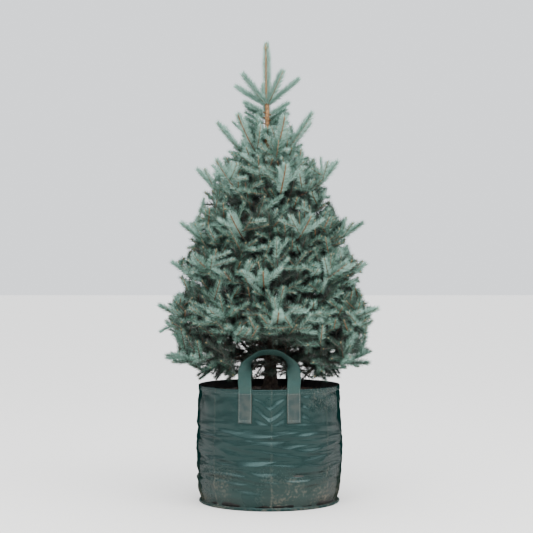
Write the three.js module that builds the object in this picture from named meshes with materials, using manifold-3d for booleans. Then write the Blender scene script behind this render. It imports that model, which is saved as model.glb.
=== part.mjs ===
// A young blue spruce, standing in a round woven planter bag that has two webbing handles.
// Millimetres, +Z up. The origin is the centre of the bag's flat underside, and -Y is the front.
// Bearings are degrees round the trunk: 0 is the right, 90 the back, 180 the left and 270 the front.
import * as THREE from "three";
import { mergeVertices } from "three/addons/utils/BufferGeometryUtils.js";
import Module from "manifold-3d";

const wasm = await Module();
wasm.setup();

const { clamp, degToRad, lerp, mapLinear, smoothstep } = THREE.MathUtils;
const TURN = 2 * Math.PI;
const UP = new THREE.Vector3(0, 0, 1);
const FRONT = new THREE.Vector3(0, -1, 0);
const GAP = 0.3; // between neighbouring solids

// The planter bag's outer outline, as radius and height: the welt at its foot, and the wall up to the hem.
const BAG_SIDES = 28;
const BAG_THICKNESS = 2.5;
const BAG_WELT = [
  [238, 0],
  [241, 3],
  [241, 8],
  [236, 12],
];
const BAG_WALL = [
  [242, 40],
  [249, 110],
  [249.5, 230],
  [242.5, 382],
];
const BAG_RIM = 400;
const HEM_PROUD = 1.5; // the folded rim stands out of the wall by this
const HEM_SLOPE = 2; // height over which it does
const SOIL_TOP = 375;
const SOIL_SLACK = 0.6;

// The webbing handles.
const STRAP_WIDTH = 46;
const STRAP_THICKNESS = 2.2;
const STRAP_PROUD = 0.35; // from the hem to the strap
const STRAP_BEARING = (1.5 * 360) / BAG_SIDES; // of each sewn end, from the bag's front or back, flat on a facet
const STRAP_RISES = [-111, -73.3, -36.6, 0, 12]; // from the rim: sewn on below it, and straight up to the last
const LOOP_HEIGHT = 120; // of the loop's crown above the rim
const LOOP_LEAN = 26; // degrees that the loop leans in over the soil
const LOOP_OUTLINE = [
  [1.01, 0.4],
  [0.84, 0.74],
  [0.46, 0.95],
]; // of half the loop, as shares of the half width at the rim and of the height
const LOOP_TURN = [0.25, 0.97]; // shares of the height between which the strap turns level
const STRAP_STEPS = 26;

// The trunk, from its flat foot on the soil to the bud at the tip of the leading shoot.
const TRUNK_FOOT = SOIL_TOP + GAP;
const TRUNK_TIP = 1566;
const TRUNK_RADIUS = 21.5;
const LEADER_RADIUS = 2.8;
const FOOT_X = 5;
const TIP_X = -10; // the trunk leans this far to the left at its tip
const BOW_Y = 5; // and bows back a little on the way
const FLARE = 12; // added to the radius at the foot
const FLARE_HEIGHT = 24;
const TRUNK_SIDES = 8;
const TRUNK_RINGS = 14;
const FOOT_CROWDING = 1.6; // draws the rings together towards the flare
const BUD_RADIUS = 4.6;
const BUD_LENGTH = 22;
const CUT_ROOM = 0.45; // round the trunk where it is cut out of a limb or a mass
const CUT_PAST = 40; // the cut goes on this far past the trunk's ends

// The tiers of boughs. `rise` is the slope in degrees at the trunk and at the tip, and `bare` is the share of the
// bough that carries no needles. Where that is long it is a limb of its own, and elsewhere the needles' own stem.
const TIERS = [
  { height: 1129, length: 250, rise: [38, 54], bare: 0.12, bearings: [188, 232, 292, 338, 38, 112] },
  { height: 940, length: 325, rise: [28, 50], bare: 0.12, bearings: [178, 226, 284, 346, 42, 106] },
  { height: 802, length: 352, rise: [14, 40], bare: 0.14, bearings: [194, 246, 296, 346, 46, 118] },
  { height: 684, length: 378, rise: [6, 34], bare: 0.16, bearings: [170, 222, 264, 316, 22, 96] },
  { height: 580, length: 396, rise: [2, 24], bare: 0.3, bearings: [190, 238, 276, 334, 40, 116] },
  { height: 500, length: 356, rise: [-4, 4], bare: 0.36, bearings: [170, 212, 330, 8, 48, 142] },
];
const LIMB_SHARE = 0.2; // boughs that are bare for more than this are limbs of their own
const STAGGER = 7; // a tier's boughs sit this much lower and higher by turns
const TIER_SEEDS = 16; // apart
const BOUGH_RADIUS = 5.6; // where a bough of BOUGH_SPAN leaves the trunk
const BOUGH_SPAN = 400;
const TWIG_RADIUS = 1.7;
const BOUGH_SIDES = 5;
const BOUGH_RINGS = 3;
const STEM_AT = 0.2; // a short stem is as thick all along as a bough is at this share of its length
const STEM_INTO_NEEDLES = 0.06; // and reaches this share of the bough into its needles

// The sprays: each year's growth along a bough ends in a ring of them. `roll` is the place round the bough, from the
// upper side, and `branch` is the side on which a long spray has a spray of its own.
const YEAR = 94;
const RINGS_OF_SPRAYS = [
  [
    { length: 96, angle: 48, roll: 78 },
    { length: 96, angle: 48, roll: -78 },
    { length: 74, angle: 50, roll: 10 },
  ],
  [
    { length: 130, angle: 52, roll: 80, branch: 1 },
    { length: 130, angle: 52, roll: -80, branch: -1 },
    { length: 96, angle: 52, roll: -12 },
    { length: 70, angle: 44, roll: 176 },
  ],
  [
    { length: 104, angle: 58, roll: 72 },
    { length: 104, angle: 58, roll: -72 },
  ],
];
const BRANCH = { length: 78, angle: 50, share: 0.36 };
const FIRST_RING = 0.03; // least share of a bough between the start of its needles and a ring of sprays
const SPRAY_LIFT = 0.22; // how much a spray turns up along its length

// The ranges that the seeded growth draws from: factors of a length, shares of a bough, and degrees.
const DRAWN = {
  boughLength: [0.95, 1.05],
  slopeAtTrunk: [-3, 3],
  bend: [-7, 7],
  slopeAtTip: [-5, 5],
  sprayLength: [0.88, 1.1],
  place: [-0.03, 0.03],
  angle: [-6, 6],
  roll: [-9, 9],
  branchLength: [0.9, 1.1],
  collarSlope: [-5, 5],
  collarLength: [0.86, 1.08],
};

// The leading shoot's crown: bearing, slope and length of the five shoots round its foot.
const CROWN_HEIGHT = 1356;
const CROWN_LIFT = 0.1;
const CROWN_SHOOTS = [
  [166, 29, 126],
  [207, 46, 136],
  [310, 52, 134],
  [354, 37, 138],
  [96, 40, 118],
];
// The short shoots on the trunk above and below the first tier.
const COLLARS = [
  { name: "upper_stem_needles", seed: 900, count: 12, heights: [1180, 1314], rise: [2, 36], length: 86 },
  { name: "middle_stem_needles", seed: 901, count: 9, heights: [992, 1092], rise: [10, 34], length: 104 },
];
const FIRST_BEARING = 20;
const GOLDEN_ANGLE = 137.5;
const STEM_COVERED = 0.06; // share of a shoot on the trunk that has no needles
const SLEEVE = 1.8; // thickness of the needle cover on the trunk
const SLEEVE_PAST = 12; // the cover goes on this far past the first and the last shoot

// A spray of needles: a slim core with needle points swept forward out of it. It stands for a few shoots, so it is
// larger than one of them.
const CORE_RADIUS = 9;
const CORE_TAPER = 0.4; // share of the radius that is lost along the spray
const NEEDLE_REACH = 26;
const REACH_TAPER = 0.3;
const NEEDLE_SWEEP = 30;
const NEEDLE_STEP = 26; // between the rings of needle points
const STEP_GROWTH = 0.01; // the rings stand this much further apart for each millimetre of spray
const FEWEST_RINGS = 3;
const SPRAY_SIDES = 4;
const SPRAY_TWIST = 0.5; // radians from one ring to the next
const LEADER_SLEEVE = 3;
const LEADER_REACH = 13;
const LEADER_RINGS = 8;
const LEADER_SIDES = 6;

// What the needle points keep clear of.
const OWN_SPACE = 2.5; // the border of the mass's own space
const SPRAY_ROOM = 13; // the middle of the mass's other sprays
const TRUNK_ROOM = 2;
const RIM_ROOM = 14;
const HANDLE_ROOM = { x: 118, y: 140, z: BAG_RIM + LOOP_HEIGHT + 24 };
const TESTED_SHARES = [0.4, 0.6, 0.8, 1]; // of a spray, to see that it has room
const PATH_STEPS = 8;

function solidFrom(geometry) {
  const bare = new THREE.BufferGeometry();
  bare.setAttribute("position", geometry.getAttribute("position"));
  bare.setIndex(geometry.getIndex());
  const merged = mergeVertices(bare, 1e-3);
  const corners = merged.getIndex().array;
  const kept = [];
  for (let i = 0; i < corners.length; i += 3) {
    const [a, b, c] = corners.slice(i, i + 3);
    if (a !== b && b !== c && c !== a) kept.push(a, b, c);
  }
  const vertProperties = new Float32Array(merged.getAttribute("position").array);
  return new wasm.Manifold(new wasm.Mesh({ numProp: 3, vertProperties, triVerts: new Uint32Array(kept) }));
}

function geometryFrom(solid) {
  const mesh = solid.getMesh();
  const geometry = new THREE.BufferGeometry();
  geometry.setAttribute("position", new THREE.BufferAttribute(new Float32Array(mesh.vertProperties), 3));
  geometry.setIndex(new THREE.BufferAttribute(new Uint32Array(mesh.triVerts), 1));
  geometry.computeVertexNormals();
  return geometry;
}

function joined(solids) {
  return solids.reduce((whole, solid) => whole.add(solid));
}

// A seeded generator of numbers in a range.
function seeded(seed) {
  let state = (seed * 7919 + 17) >>> 0;
  return ([low, high]) => {
    state = (Math.imul(state, 1664525) + 1013904223) >>> 0;
    return lerp(low, high, state / 2 ** 32);
  };
}

function heading(bearing, rise) {
  const around = degToRad(bearing);
  const above = degToRad(rise);
  const level = Math.cos(above);
  return new THREE.Vector3(level * Math.cos(around), level * Math.sin(around), Math.sin(above));
}

// The directions along, beside and above a path at a share of its length. Level ones suit an upright path.
function frameAt(path, share, level = false) {
  const along = level ? UP.clone() : path.getTangent(clamp(share, 0, 1));
  const beside = along.clone().cross(level ? FRONT : UP).normalize();
  const above = beside.clone().cross(along);
  return { at: path.getPoint(share), along, beside, above };
}

function pointRound(path, share, radius, angle, level = false) {
  const { at, beside, above } = frameAt(path, share, level);
  return at.addScaledVector(beside, radius * Math.sin(angle)).addScaledVector(above, radius * Math.cos(angle));
}

// A closed tube round a path. `cornerAt(ring, side)` gives each corner's share of the path, radius and twist.
function limb(path, sides, rings, cornerAt, { pointed = false, level = false } = {}) {
  const shape = new THREE.CylinderGeometry(pointed ? 0 : 1, 1, 1, sides, rings);
  const position = shape.getAttribute("position");
  for (let i = 0; i < position.count; i++) {
    const ring = Math.round((position.getY(i) + 0.5) * rings);
    const onAxis = Math.hypot(position.getX(i), position.getZ(i)) < 1e-6;
    const angle = Math.atan2(position.getX(i), position.getZ(i));
    const side = (Math.round((angle / TURN) * sides) + sides) % sides;
    const { share, radius, twist = 0 } = cornerAt(ring, side);
    const { x, y, z } = pointRound(path, share, onAxis ? 0 : radius, angle + twist, level);
    position.setXYZ(i, x, y, z);
  }
  return solidFrom(shape);
}

// Straight at first, and turned up towards the end by `lift`.
function shootPath(base, direction, length, lift) {
  const bend = base.clone().addScaledVector(direction, length / 2);
  const turned = direction.clone().addScaledVector(UP, lift).normalize();
  return new THREE.QuadraticBezierCurve3(base, bend, bend.clone().addScaledVector(turned, length / 2));
}

// A path as short straight lines, to measure distances from.
function linesOf(path) {
  const points = path.getPoints(PATH_STEPS);
  return points.slice(1).map((point, i) => new THREE.Line3(points[i], point));
}

function distanceTo(lines, point) {
  const nearest = new THREE.Vector3();
  return Math.min(...lines.map((line) => line.closestPointToPoint(point, true, nearest).distanceTo(point)));
}

// What a spray is made from. It is covered in needles from the share `start` of its path.
function shootOf(path, length, start = 0, thickness = TWIG_RADIUS) {
  return { path, length, start, thickness, lines: linesOf(path) };
}

const trunkPath = new THREE.QuadraticBezierCurve3(
  new THREE.Vector3(FOOT_X, 0, TRUNK_FOOT),
  new THREE.Vector3((FOOT_X + TIP_X) / 2, 2 * BOW_Y, (TRUNK_FOOT + TRUNK_TIP) / 2),
  new THREE.Vector3(TIP_X, 0, TRUNK_TIP),
);

function trunkShare(height) {
  return (height - TRUNK_FOOT) / (TRUNK_TIP - TRUNK_FOOT);
}

function onTrunk(height) {
  return trunkPath.getPoint(trunkShare(height));
}

function trunkRadius(height) {
  const taper = lerp(TRUNK_RADIUS, LEADER_RADIUS, trunkShare(height));
  return taper + FLARE * Math.exp((TRUNK_FOOT - height) / FLARE_HEIGHT);
}

// A stretch of the trunk's own shape, made fatter by `extra`.
function trunkStretch(low, high, rings, extra, crowding = 1) {
  const cornerAt = (ring) => {
    const height = lerp(low, high, (ring / rings) ** crowding);
    return { share: trunkShare(height), radius: trunkRadius(height) + extra };
  };
  return limb(trunkPath, TRUNK_SIDES, rings, cornerAt, { level: true });
}

function makeTrunk() {
  const bud = new THREE.SphereGeometry(BUD_RADIUS, 6, 4);
  bud.scale(1, BUD_LENGTH / 2 / BUD_RADIUS, 1);
  bud.rotateX(Math.PI / 2);
  bud.translate(TIP_X, 0, TRUNK_TIP);
  return trunkStretch(TRUNK_FOOT, TRUNK_TIP, TRUNK_RINGS, 0, FOOT_CROWDING).add(solidFrom(bud));
}

const trunkRoom = trunkStretch(TRUNK_FOOT - CUT_PAST, TRUNK_TIP + CUT_PAST, TRUNK_RINGS, CUT_ROOM);

// Each mass of needles has one or more axes. A point belongs to the mass whose axis is nearest.
function planBoughs() {
  return TIERS.flatMap((tier, level) =>
    tier.bearings.map((bearing, i) => {
      const draw = seeded(level * TIER_SEEDS + i + 1);
      const length = tier.length * draw(DRAWN.boughLength);
      const base = onTrunk(tier.height + (i % 2 ? STAGGER : -STAGGER));
      const start = heading(bearing, tier.rise[0] + draw(DRAWN.slopeAtTrunk));
      const end = heading(bearing + draw(DRAWN.bend), tier.rise[1] + draw(DRAWN.slopeAtTip));
      const bend = base.clone().addScaledVector(start, length / 2);
      const path = new THREE.QuadraticBezierCurve3(base, bend, bend.clone().addScaledVector(end, length / 2));
      return { tier: level + 1, bearing, path, length, bare: tier.bare, axes: [path], draw };
    }),
  );
}

function planLeader() {
  const base = onTrunk(CROWN_HEIGHT);
  const shoots = CROWN_SHOOTS.map(([bearing, rise, length]) =>
    shootOf(shootPath(base, heading(bearing, rise), length, CROWN_LIFT), length, STEM_COVERED),
  );
  const stem = new THREE.LineCurve3(base, trunkPath.getPoint(1));
  return { name: "leader_needles", axes: [stem, ...shoots.map((shoot) => shoot.path)], shoots };
}

function planCollar({ name, seed, count, heights, rise, length }) {
  const draw = seeded(seed);
  const shoots = [];
  for (let i = 0; i < count; i++) {
    const share = i / (count - 1);
    const slope = lerp(...rise, share) + draw(DRAWN.collarSlope);
    const size = length * draw(DRAWN.collarLength);
    const direction = heading(FIRST_BEARING + i * GOLDEN_ANGLE, slope);
    const path = shootPath(onTrunk(lerp(...heights, share)), direction, size, SPRAY_LIFT);
    shoots.push(shootOf(path, size, STEM_COVERED));
  }
  return { name, heights, axes: shoots.map((shoot) => shoot.path), shoots };
}

const boughs = planBoughs();
const leader = planLeader();
const collars = COLLARS.map(planCollar);
const masses = [...boughs, leader, ...collars];
for (const mass of masses) mass.lines = mass.axes.flatMap(linesOf);

// Clear of the trunk, the bag's rim and both handles.
function isOpen(point, room) {
  const axis = onTrunk(point.z);
  const fromTrunk = Math.hypot(point.x - axis.x, point.y - axis.y);
  const atHandle =
    Math.abs(point.x) < HANDLE_ROOM.x && Math.abs(point.y) > HANDLE_ROOM.y && point.z < HANDLE_ROOM.z;
  return fromTrunk > trunkRadius(point.z) + room && point.z > BAG_RIM + RIM_ROOM && !atHandle;
}

function isOwn(mass, point, room) {
  const own = distanceTo(mass.lines, point) + room;
  return masses.every((other) => other === mass || distanceTo(other.lines, point) > own);
}

function hasRoom(mass, path) {
  return TESTED_SHARES.every((share) => {
    const point = path.getPoint(share);
    return isOpen(point, CORE_RADIUS) && isOwn(mass, point, CORE_RADIUS + OWN_SPACE);
  });
}

// The needle points of alternate corners are swept forward. One that would leave the mass's space, or run into
// another of its sprays, stays in.
function spray(mass, shoot) {
  const { path, length, start } = shoot;
  const covered = length * (1 - start);
  const rings = Math.max(FEWEST_RINGS, Math.round(covered / (NEEDLE_STEP + covered * STEP_GROWTH)));
  const isFree = (point) =>
    isOpen(point, TRUNK_ROOM) &&
    isOwn(mass, point, OWN_SPACE) &&
    mass.shoots.every((other) => other === shoot || distanceTo(other.lines, point) > SPRAY_ROOM);
  const cornerAt = (ring, side) => {
    const share = lerp(start, 1, ring / rings);
    const twist = ring * SPRAY_TWIST;
    if (ring === 0) return { share, radius: shoot.thickness, twist };
    const core = { share, radius: CORE_RADIUS * (1 - CORE_TAPER * share), twist };
    if (ring === rings || (ring + side) % 2) return core;
    const tip = { share: share + NEEDLE_SWEEP / length, radius: NEEDLE_REACH * (1 - REACH_TAPER * share), twist };
    const point = pointRound(path, tip.share, tip.radius, (side / SPRAY_SIDES) * TURN + twist);
    return isFree(point) ? tip : core;
  };
  return limb(path, SPRAY_SIDES, rings, cornerAt, { pointed: true });
}

// A spray leaves its parent at `angle` to it, rolled round it from the upper side.
function sprout(parent, share, angle, roll, length) {
  const { at, along, beside, above } = frameAt(parent, share);
  const turn = degToRad(angle);
  const about = degToRad(roll);
  const direction = along.multiplyScalar(Math.cos(turn));
  direction.addScaledVector(beside, Math.sin(turn) * Math.sin(about));
  direction.addScaledVector(above, Math.sin(turn) * Math.cos(about));
  return shootPath(at, direction, length, SPRAY_LIFT);
}

// The seeded rule for a bough: its own tip, and then its sprays, year by year from there towards the trunk.
function growShoots(bough) {
  const { path, length, bare, draw } = bough;
  const start = bare + GAP / 2 / length;
  const shoots = [shootOf(path, length, start, boughRadius(bough, start))];
  RINGS_OF_SPRAYS.forEach((ring, year) => {
    const share = 1 - ((year + 1) * YEAR) / length;
    if (share < bare + FIRST_RING) return;
    for (const kind of ring) {
      const size = kind.length * draw(DRAWN.sprayLength);
      const at = share + draw(DRAWN.place);
      const shoot = sprout(path, at, kind.angle + draw(DRAWN.angle), kind.roll + draw(DRAWN.roll), size);
      const branchAngle = BRANCH.angle + draw(DRAWN.angle);
      const branchSize = BRANCH.length * draw(DRAWN.branchLength);
      if (!hasRoom(bough, shoot)) continue;
      shoots.push(shootOf(shoot, size));
      if (!kind.branch) continue;
      const branch = sprout(shoot, BRANCH.share, branchAngle, kind.branch * 90, branchSize);
      if (hasRoom(bough, branch)) shoots.push(shootOf(branch, branchSize));
    }
  });
  return shoots;
}

function boughRadius(bough, share) {
  return TWIG_RADIUS + (BOUGH_RADIUS - TWIG_RADIUS) * (bough.length / BOUGH_SPAN) * (1 - share);
}

// The bare part of a bough, from the trunk out to where its needles start.
function makeBough(bough) {
  const end = bough.bare - GAP / 2 / bough.length;
  const cornerAt = (ring) => {
    const share = (end * ring) / BOUGH_RINGS;
    return { share, radius: boughRadius(bough, share) };
  };
  return limb(bough.path, BOUGH_SIDES, BOUGH_RINGS, cornerAt).subtract(trunkRoom);
}

function makeMass(bough) {
  bough.shoots = growShoots(bough);
  const whole = joined(bough.shoots.map((shoot) => spray(bough, shoot)));
  if (bough.bare > LIMB_SHARE) return whole;
  const radius = boughRadius(bough, STEM_AT);
  const cornerAt = (ring) => ({ share: ring * (bough.bare + STEM_INTO_NEEDLES), radius });
  return whole.add(limb(bough.path, BOUGH_SIDES, 1, cornerAt)).subtract(trunkRoom);
}

// The needle cover of the leading shoot is a sleeve with points, and the crown's shoots stand round its foot.
function makeLeaderNeedles() {
  const low = CROWN_HEIGHT - SLEEVE_PAST;
  const high = TRUNK_TIP - BUD_LENGTH;
  const cornerAt = (ring, side) => {
    const height = lerp(low, high, ring / LEADER_RINGS);
    const cover = { share: trunkShare(height), radius: trunkRadius(height) + LEADER_SLEEVE };
    if (ring < 2 || ring === LEADER_RINGS || (ring + side) % 2) return cover;
    return { share: trunkShare(height + NEEDLE_SWEEP), radius: LEADER_REACH };
  };
  const sleeve = limb(trunkPath, LEADER_SIDES, LEADER_RINGS, cornerAt, { level: true });
  const shoots = leader.shoots.map((shoot) => spray(leader, shoot));
  return joined([sleeve, ...shoots]).subtract(trunkRoom);
}

function makeCollar(collar) {
  const [low, high] = collar.heights;
  const sleeve = trunkStretch(low - SLEEVE_PAST, high + SLEEVE_PAST, 1, SLEEVE);
  const shoots = collar.shoots.map((shoot) => spray(collar, shoot));
  return joined([sleeve, ...shoots]).subtract(trunkRoom);
}

function turned(outline) {
  const profile = outline.map(([radius, height]) => new THREE.Vector2(radius, height));
  const shape = new THREE.LatheGeometry(profile, BAG_SIDES);
  shape.rotateX(Math.PI / 2);
  return solidFrom(shape);
}

const weltRadius = BAG_WELT.at(-1)[0];
const [hemRadius, hemFoot] = BAG_WALL.at(-1);
const hem = [
  [hemRadius + HEM_PROUD, hemFoot + HEM_SLOPE],
  [hemRadius + HEM_PROUD, BAG_RIM],
];

// An outline inside the wall's outer one by `inset`, up to the height `top`.
function innerWall(inset, top) {
  const wall = BAG_WALL.filter(([, height]) => height < top).map(([radius, height]) => [radius - inset, height]);
  return [...wall, [hemRadius - inset, top]];
}

// The bag's wall, floor, hem and the welt where wall and floor are sewn together, as one open shell.
function makeBag() {
  const outer = [[0, 0], ...BAG_WELT, ...BAG_WALL, ...hem];
  const floor = [
    [0, BAG_THICKNESS],
    [weltRadius - 2 * BAG_THICKNESS, BAG_THICKNESS],
  ];
  return turned([...outer, ...[...floor, ...innerWall(BAG_THICKNESS, BAG_RIM)].reverse()]);
}

function makeSoil() {
  const inset = BAG_THICKNESS + SOIL_SLACK;
  const floor = [
    [0, BAG_THICKNESS + GAP],
    [weltRadius - BAG_THICKNESS - inset, BAG_THICKNESS + GAP],
  ];
  return turned([...floor, ...innerWall(inset, SOIL_TOP), [0, SOIL_TOP]]);
}

// The bag's outer radius at a height in the wall, with the hem counted from the wall's last corner up.
function bagRadius(height) {
  const outline = [...BAG_WALL, hem.at(-1)];
  const above = outline.findIndex(([, level]) => level >= height);
  const [lowRadius, low] = outline[above - 1];
  const [highRadius, high] = outline[above];
  return mapLinear(height, low, high, lowRadius, highRadius);
}

// The strap lies flat on the wall, stands up from the rim, and leans in over the soil.
function strapPath() {
  const angle = degToRad(STRAP_BEARING);
  const onFacet = Math.cos(Math.PI / BAG_SIDES);
  const straight = STRAP_RISES.map((rise) => {
    const wall = Math.max(bagRadius(Math.min(BAG_RIM + rise, BAG_RIM)), bagRadius(BAG_RIM));
    const radius = wall * onFacet + STRAP_PROUD + STRAP_THICKNESS / 2;
    return new THREE.Vector3(-radius * Math.sin(angle), -radius * Math.cos(angle), BAG_RIM + rise);
  });
  const foot = straight.at(-1);
  const lean = Math.tan(degToRad(LOOP_LEAN));
  const onLoop = ([across, up]) => {
    const height = BAG_RIM + LOOP_HEIGHT * up;
    return new THREE.Vector3(foot.x * across, foot.y + (height - foot.z) * lean, height);
  };
  const half = [...straight, ...LOOP_OUTLINE.map(onLoop)];
  const mirrored = half.map((point) => new THREE.Vector3(-point.x, point.y, point.z)).reverse();
  return new THREE.CatmullRomCurve3([...half, onLoop([0, 1]), ...mirrored], false, "centripetal");
}

// The strap turns on its way, so that it lies flat on the wall and level at the loop's crown.
function makeHandle(facing) {
  const path = strapPath();
  const strap = new THREE.BoxGeometry(STRAP_WIDTH, STRAP_THICKNESS, 1, 1, 1, STRAP_STEPS);
  const position = strap.getAttribute("position");
  const angle = degToRad(STRAP_BEARING);
  const lean = degToRad(LOOP_LEAN);
  const levelAcross = new THREE.Vector3(0, -Math.cos(lean), Math.sin(lean));
  for (let i = 0; i < position.count; i++) {
    const share = position.getZ(i) + 0.5;
    const along = path.getTangentAt(share);
    const at = path.getPointAt(share);
    const turn = smoothstep((at.z - BAG_RIM) / LOOP_HEIGHT, ...LOOP_TURN);
    const hand = share < 0.5 ? -1 : 1;
    const across = new THREE.Vector3(hand * Math.cos(angle), Math.sin(angle), 0).lerp(levelAcross, turn);
    across.addScaledVector(along, -across.dot(along)).normalize();
    const outward = along.clone().cross(across);
    at.addScaledVector(across, position.getX(i)).addScaledVector(outward, position.getY(i));
    position.setXYZ(i, at.x, at.y, at.z);
  }
  strap.rotateZ(facing);
  return solidFrom(strap);
}

const finish = (color, roughness) => new THREE.MeshStandardMaterial({ color, roughness, metalness: 0 });
const finishes = {
  bag: finish(0x2d4c46, 0.45),
  strap: finish(0x3f5f5a, 0.7),
  soil: finish(0x3a2a20, 0.95),
  bark: finish(0x5b4536, 0.9),
  needles: finish(0x6f938c, 0.75),
};

const spruce = new THREE.Group();

function place(name, solid, material) {
  const mesh = new THREE.Mesh(geometryFrom(solid), material);
  mesh.name = name;
  spruce.add(mesh);
}

place("planter_bag", makeBag(), finishes.bag);
place("potting_soil", makeSoil(), finishes.soil);
place("handle_front", makeHandle(0), finishes.strap);
place("handle_back", makeHandle(Math.PI), finishes.strap);
place("trunk", makeTrunk(), finishes.bark);
place(leader.name, makeLeaderNeedles(), finishes.needles);
for (const collar of collars) place(collar.name, makeCollar(collar), finishes.needles);
for (const bough of boughs) {
  const { tier, bearing, bare } = bough;
  if (bare > LIMB_SHARE) place(`tier${tier}_bough_${bearing}`, makeBough(bough), finishes.bark);
  place(`tier${tier}_needles_${bearing}`, makeMass(bough), finishes.needles);
}

export default spruce;
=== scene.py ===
"""Builds a potted blue spruce round its fixed frame: the tree, its woven planter bag and a plain stage."""

import math
from dataclasses import dataclass, field
from functools import cache

import bpy
import numpy as np
from bpy.props import FloatProperty, FloatVectorProperty, PointerProperty
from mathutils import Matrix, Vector, noise
from mathutils.kdtree import KDTree


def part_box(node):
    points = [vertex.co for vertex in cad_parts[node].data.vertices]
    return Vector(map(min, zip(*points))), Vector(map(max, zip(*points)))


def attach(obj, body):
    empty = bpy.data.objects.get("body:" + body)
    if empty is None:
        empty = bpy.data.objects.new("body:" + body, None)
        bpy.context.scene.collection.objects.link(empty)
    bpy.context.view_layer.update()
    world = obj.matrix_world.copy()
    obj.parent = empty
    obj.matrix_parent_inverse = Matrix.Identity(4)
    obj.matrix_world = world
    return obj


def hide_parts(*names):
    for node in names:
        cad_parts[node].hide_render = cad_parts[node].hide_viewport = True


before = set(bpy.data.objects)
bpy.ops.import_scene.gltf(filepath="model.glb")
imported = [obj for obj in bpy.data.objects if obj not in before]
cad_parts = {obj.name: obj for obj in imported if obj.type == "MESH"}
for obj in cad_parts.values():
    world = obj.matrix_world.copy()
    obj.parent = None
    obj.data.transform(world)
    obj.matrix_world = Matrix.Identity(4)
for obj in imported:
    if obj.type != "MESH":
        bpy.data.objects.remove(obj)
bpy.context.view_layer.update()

bl_info = {
    "name": "Potted Blue Spruce",
    "version": (1, 0, 0),
    "blender": (4, 5, 0),
    "location": "3D View > Sidebar > Spruce",
    "description": "Builds a young blue spruce in a woven planter bag, on a plain stage",
    "category": "Add Mesh",
}

UP = np.array([0.0, 0.0, 1.0])
TURN = 2 * math.pi
GOLDEN_ANGLE = 137.5

# The planter bag, in metres, as radius and height. Corners of the solid's wall are rounded off here.
BAG_SIDES = 28
BAG_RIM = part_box("planter_bag")[1].z
RIM_RADIUS = 0.2425
WALL = (
    (0.240, 0.010),
    (0.243, 0.040),
    (0.249, 0.110),
    (0.2495, 0.230),
    (RIM_RADIUS, 0.382),
    (RIM_RADIUS, 0.420),
)
CLOTH_RADIUS = 0.245  # the wall's mean radius, for arcs on it
WALL_ROWS = 190
WALL_COLUMNS = 400
TUCK = 0.0070  # how far the wall draws in above the welt
TUCK_HEIGHTS = (0.010, 0.046)
ROUNDING = 0.018
FACET_MIDDLE = math.cos(math.pi / BAG_SIDES)
CLOTH_THICKNESS = 0.0025
HEM_FOOT = 0.383
HEM_PROUD = 0.0015
HEM_SEAMS = (HEM_FOOT + 0.0030, HEM_FOOT + 0.0072)  # heights of its two rows of stitches
HEM_STITCHES = 300
WELT_RADIUS = 0.2385
WELT_HEIGHT = 0.0038
WELT_STEPS = 320
WELT_SIDES = 10
SOIL_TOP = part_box("potting_soil")[1].z
BELT = 0.236  # a level buckle all round
BELT_WIDTH = 0.0065
CREASES = (-132.0, -88.0, -47.5, 1.6, 51.8, 95.0, 139.0, -176.0)  # bearings of the upright creases
CREASE_WIDTH = 0.0024
RIM_ROUNDING = 0.0012
LINING_HEIGHTS = (BAG_RIM - RIM_ROUNDING, 0.394, 0.386, 0.380, 0.372, 0.36, 0.30, 0.2, 0.1, 0.04)
LINING_FLOOR = 0.0036
UNDERSIDE = 0.0006
SOIL_FOOT = 0.34
SOIL_ROWS = 62
SOIL_COLUMNS = 150
CHIPS = 620
CHIP_REACH = 0.232
CHIP_SIZES = (0.004, 0.013)

# The webbing handles.
STRAP_WIDTH = 0.046
STRAP_THICKNESS = 0.0022
STRAP_PROUD = 0.00035
STRAP_BEARING = 1.5 * 360 / BAG_SIDES
STRAP_RISES = (-0.111, -0.0733, -0.0366, 0.0, 0.012)
LOOP_HEIGHT = 0.120
LOOP_LEAN = math.radians(26)
LOOP_OUTLINE = ((1.01, 0.4), (0.84, 0.74), (0.46, 0.95))
LOOP_TURN = (0.25, 0.97)
STRAP_SAMPLES = 2400  # of the curve, from which its even steps are taken
STRAP_STEPS = 300
STITCH_SIZE = (0.0040, 0.0015)
STITCH_STEP = 0.0052
SEAM_INSET = 0.0035

# The trunk.
TRUNK_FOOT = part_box("trunk")[0].z
TRUNK_TIP = 1.566
TRUNK_RADIUS = 0.0215
LEADER_RADIUS = 0.0028
FOOT_X = 0.005
TIP_X = -0.010
BOW_Y = 0.005
FLARE = 0.012
FLARE_HEIGHT = 0.024
YOUNG_BARK = (1.05, 1.36)  # heights between which the bark turns smooth
TRUNK_RINGS = 430
TRUNK_SIDES = 48
BOUGH_RINGS = 54
BOUGH_SIDES = 10
TWIG_SIDES = 5


@dataclass
class Tier:
    """One tier of boughs: slopes at the trunk and at the tip, and the share of each bough that is bare."""

    height: float
    length: float
    rise: tuple
    bare: float
    bearings: tuple


TIERS = (
    Tier(1.129, 0.250, (38, 54), 0.12, (188, 232, 292, 338, 38, 112)),
    Tier(0.940, 0.325, (28, 50), 0.12, (178, 226, 284, 346, 42, 106)),
    Tier(0.802, 0.352, (14, 40), 0.14, (194, 246, 296, 346, 46, 118)),
    Tier(0.684, 0.378, (6, 34), 0.16, (170, 222, 264, 316, 22, 96)),
    Tier(0.580, 0.396, (2, 24), 0.30, (190, 238, 276, 334, 40, 116)),
    Tier(0.500, 0.356, (-4, 4), 0.36, (170, 212, 330, 8, 48, 142)),
)
STAGGER = 0.007
TIER_SEEDS = 16
BOUGH_RADIUS = 0.0056
BOUGH_SPAN = 0.400
TWIG_RADIUS = 0.0017
GAP = 0.0003


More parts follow.
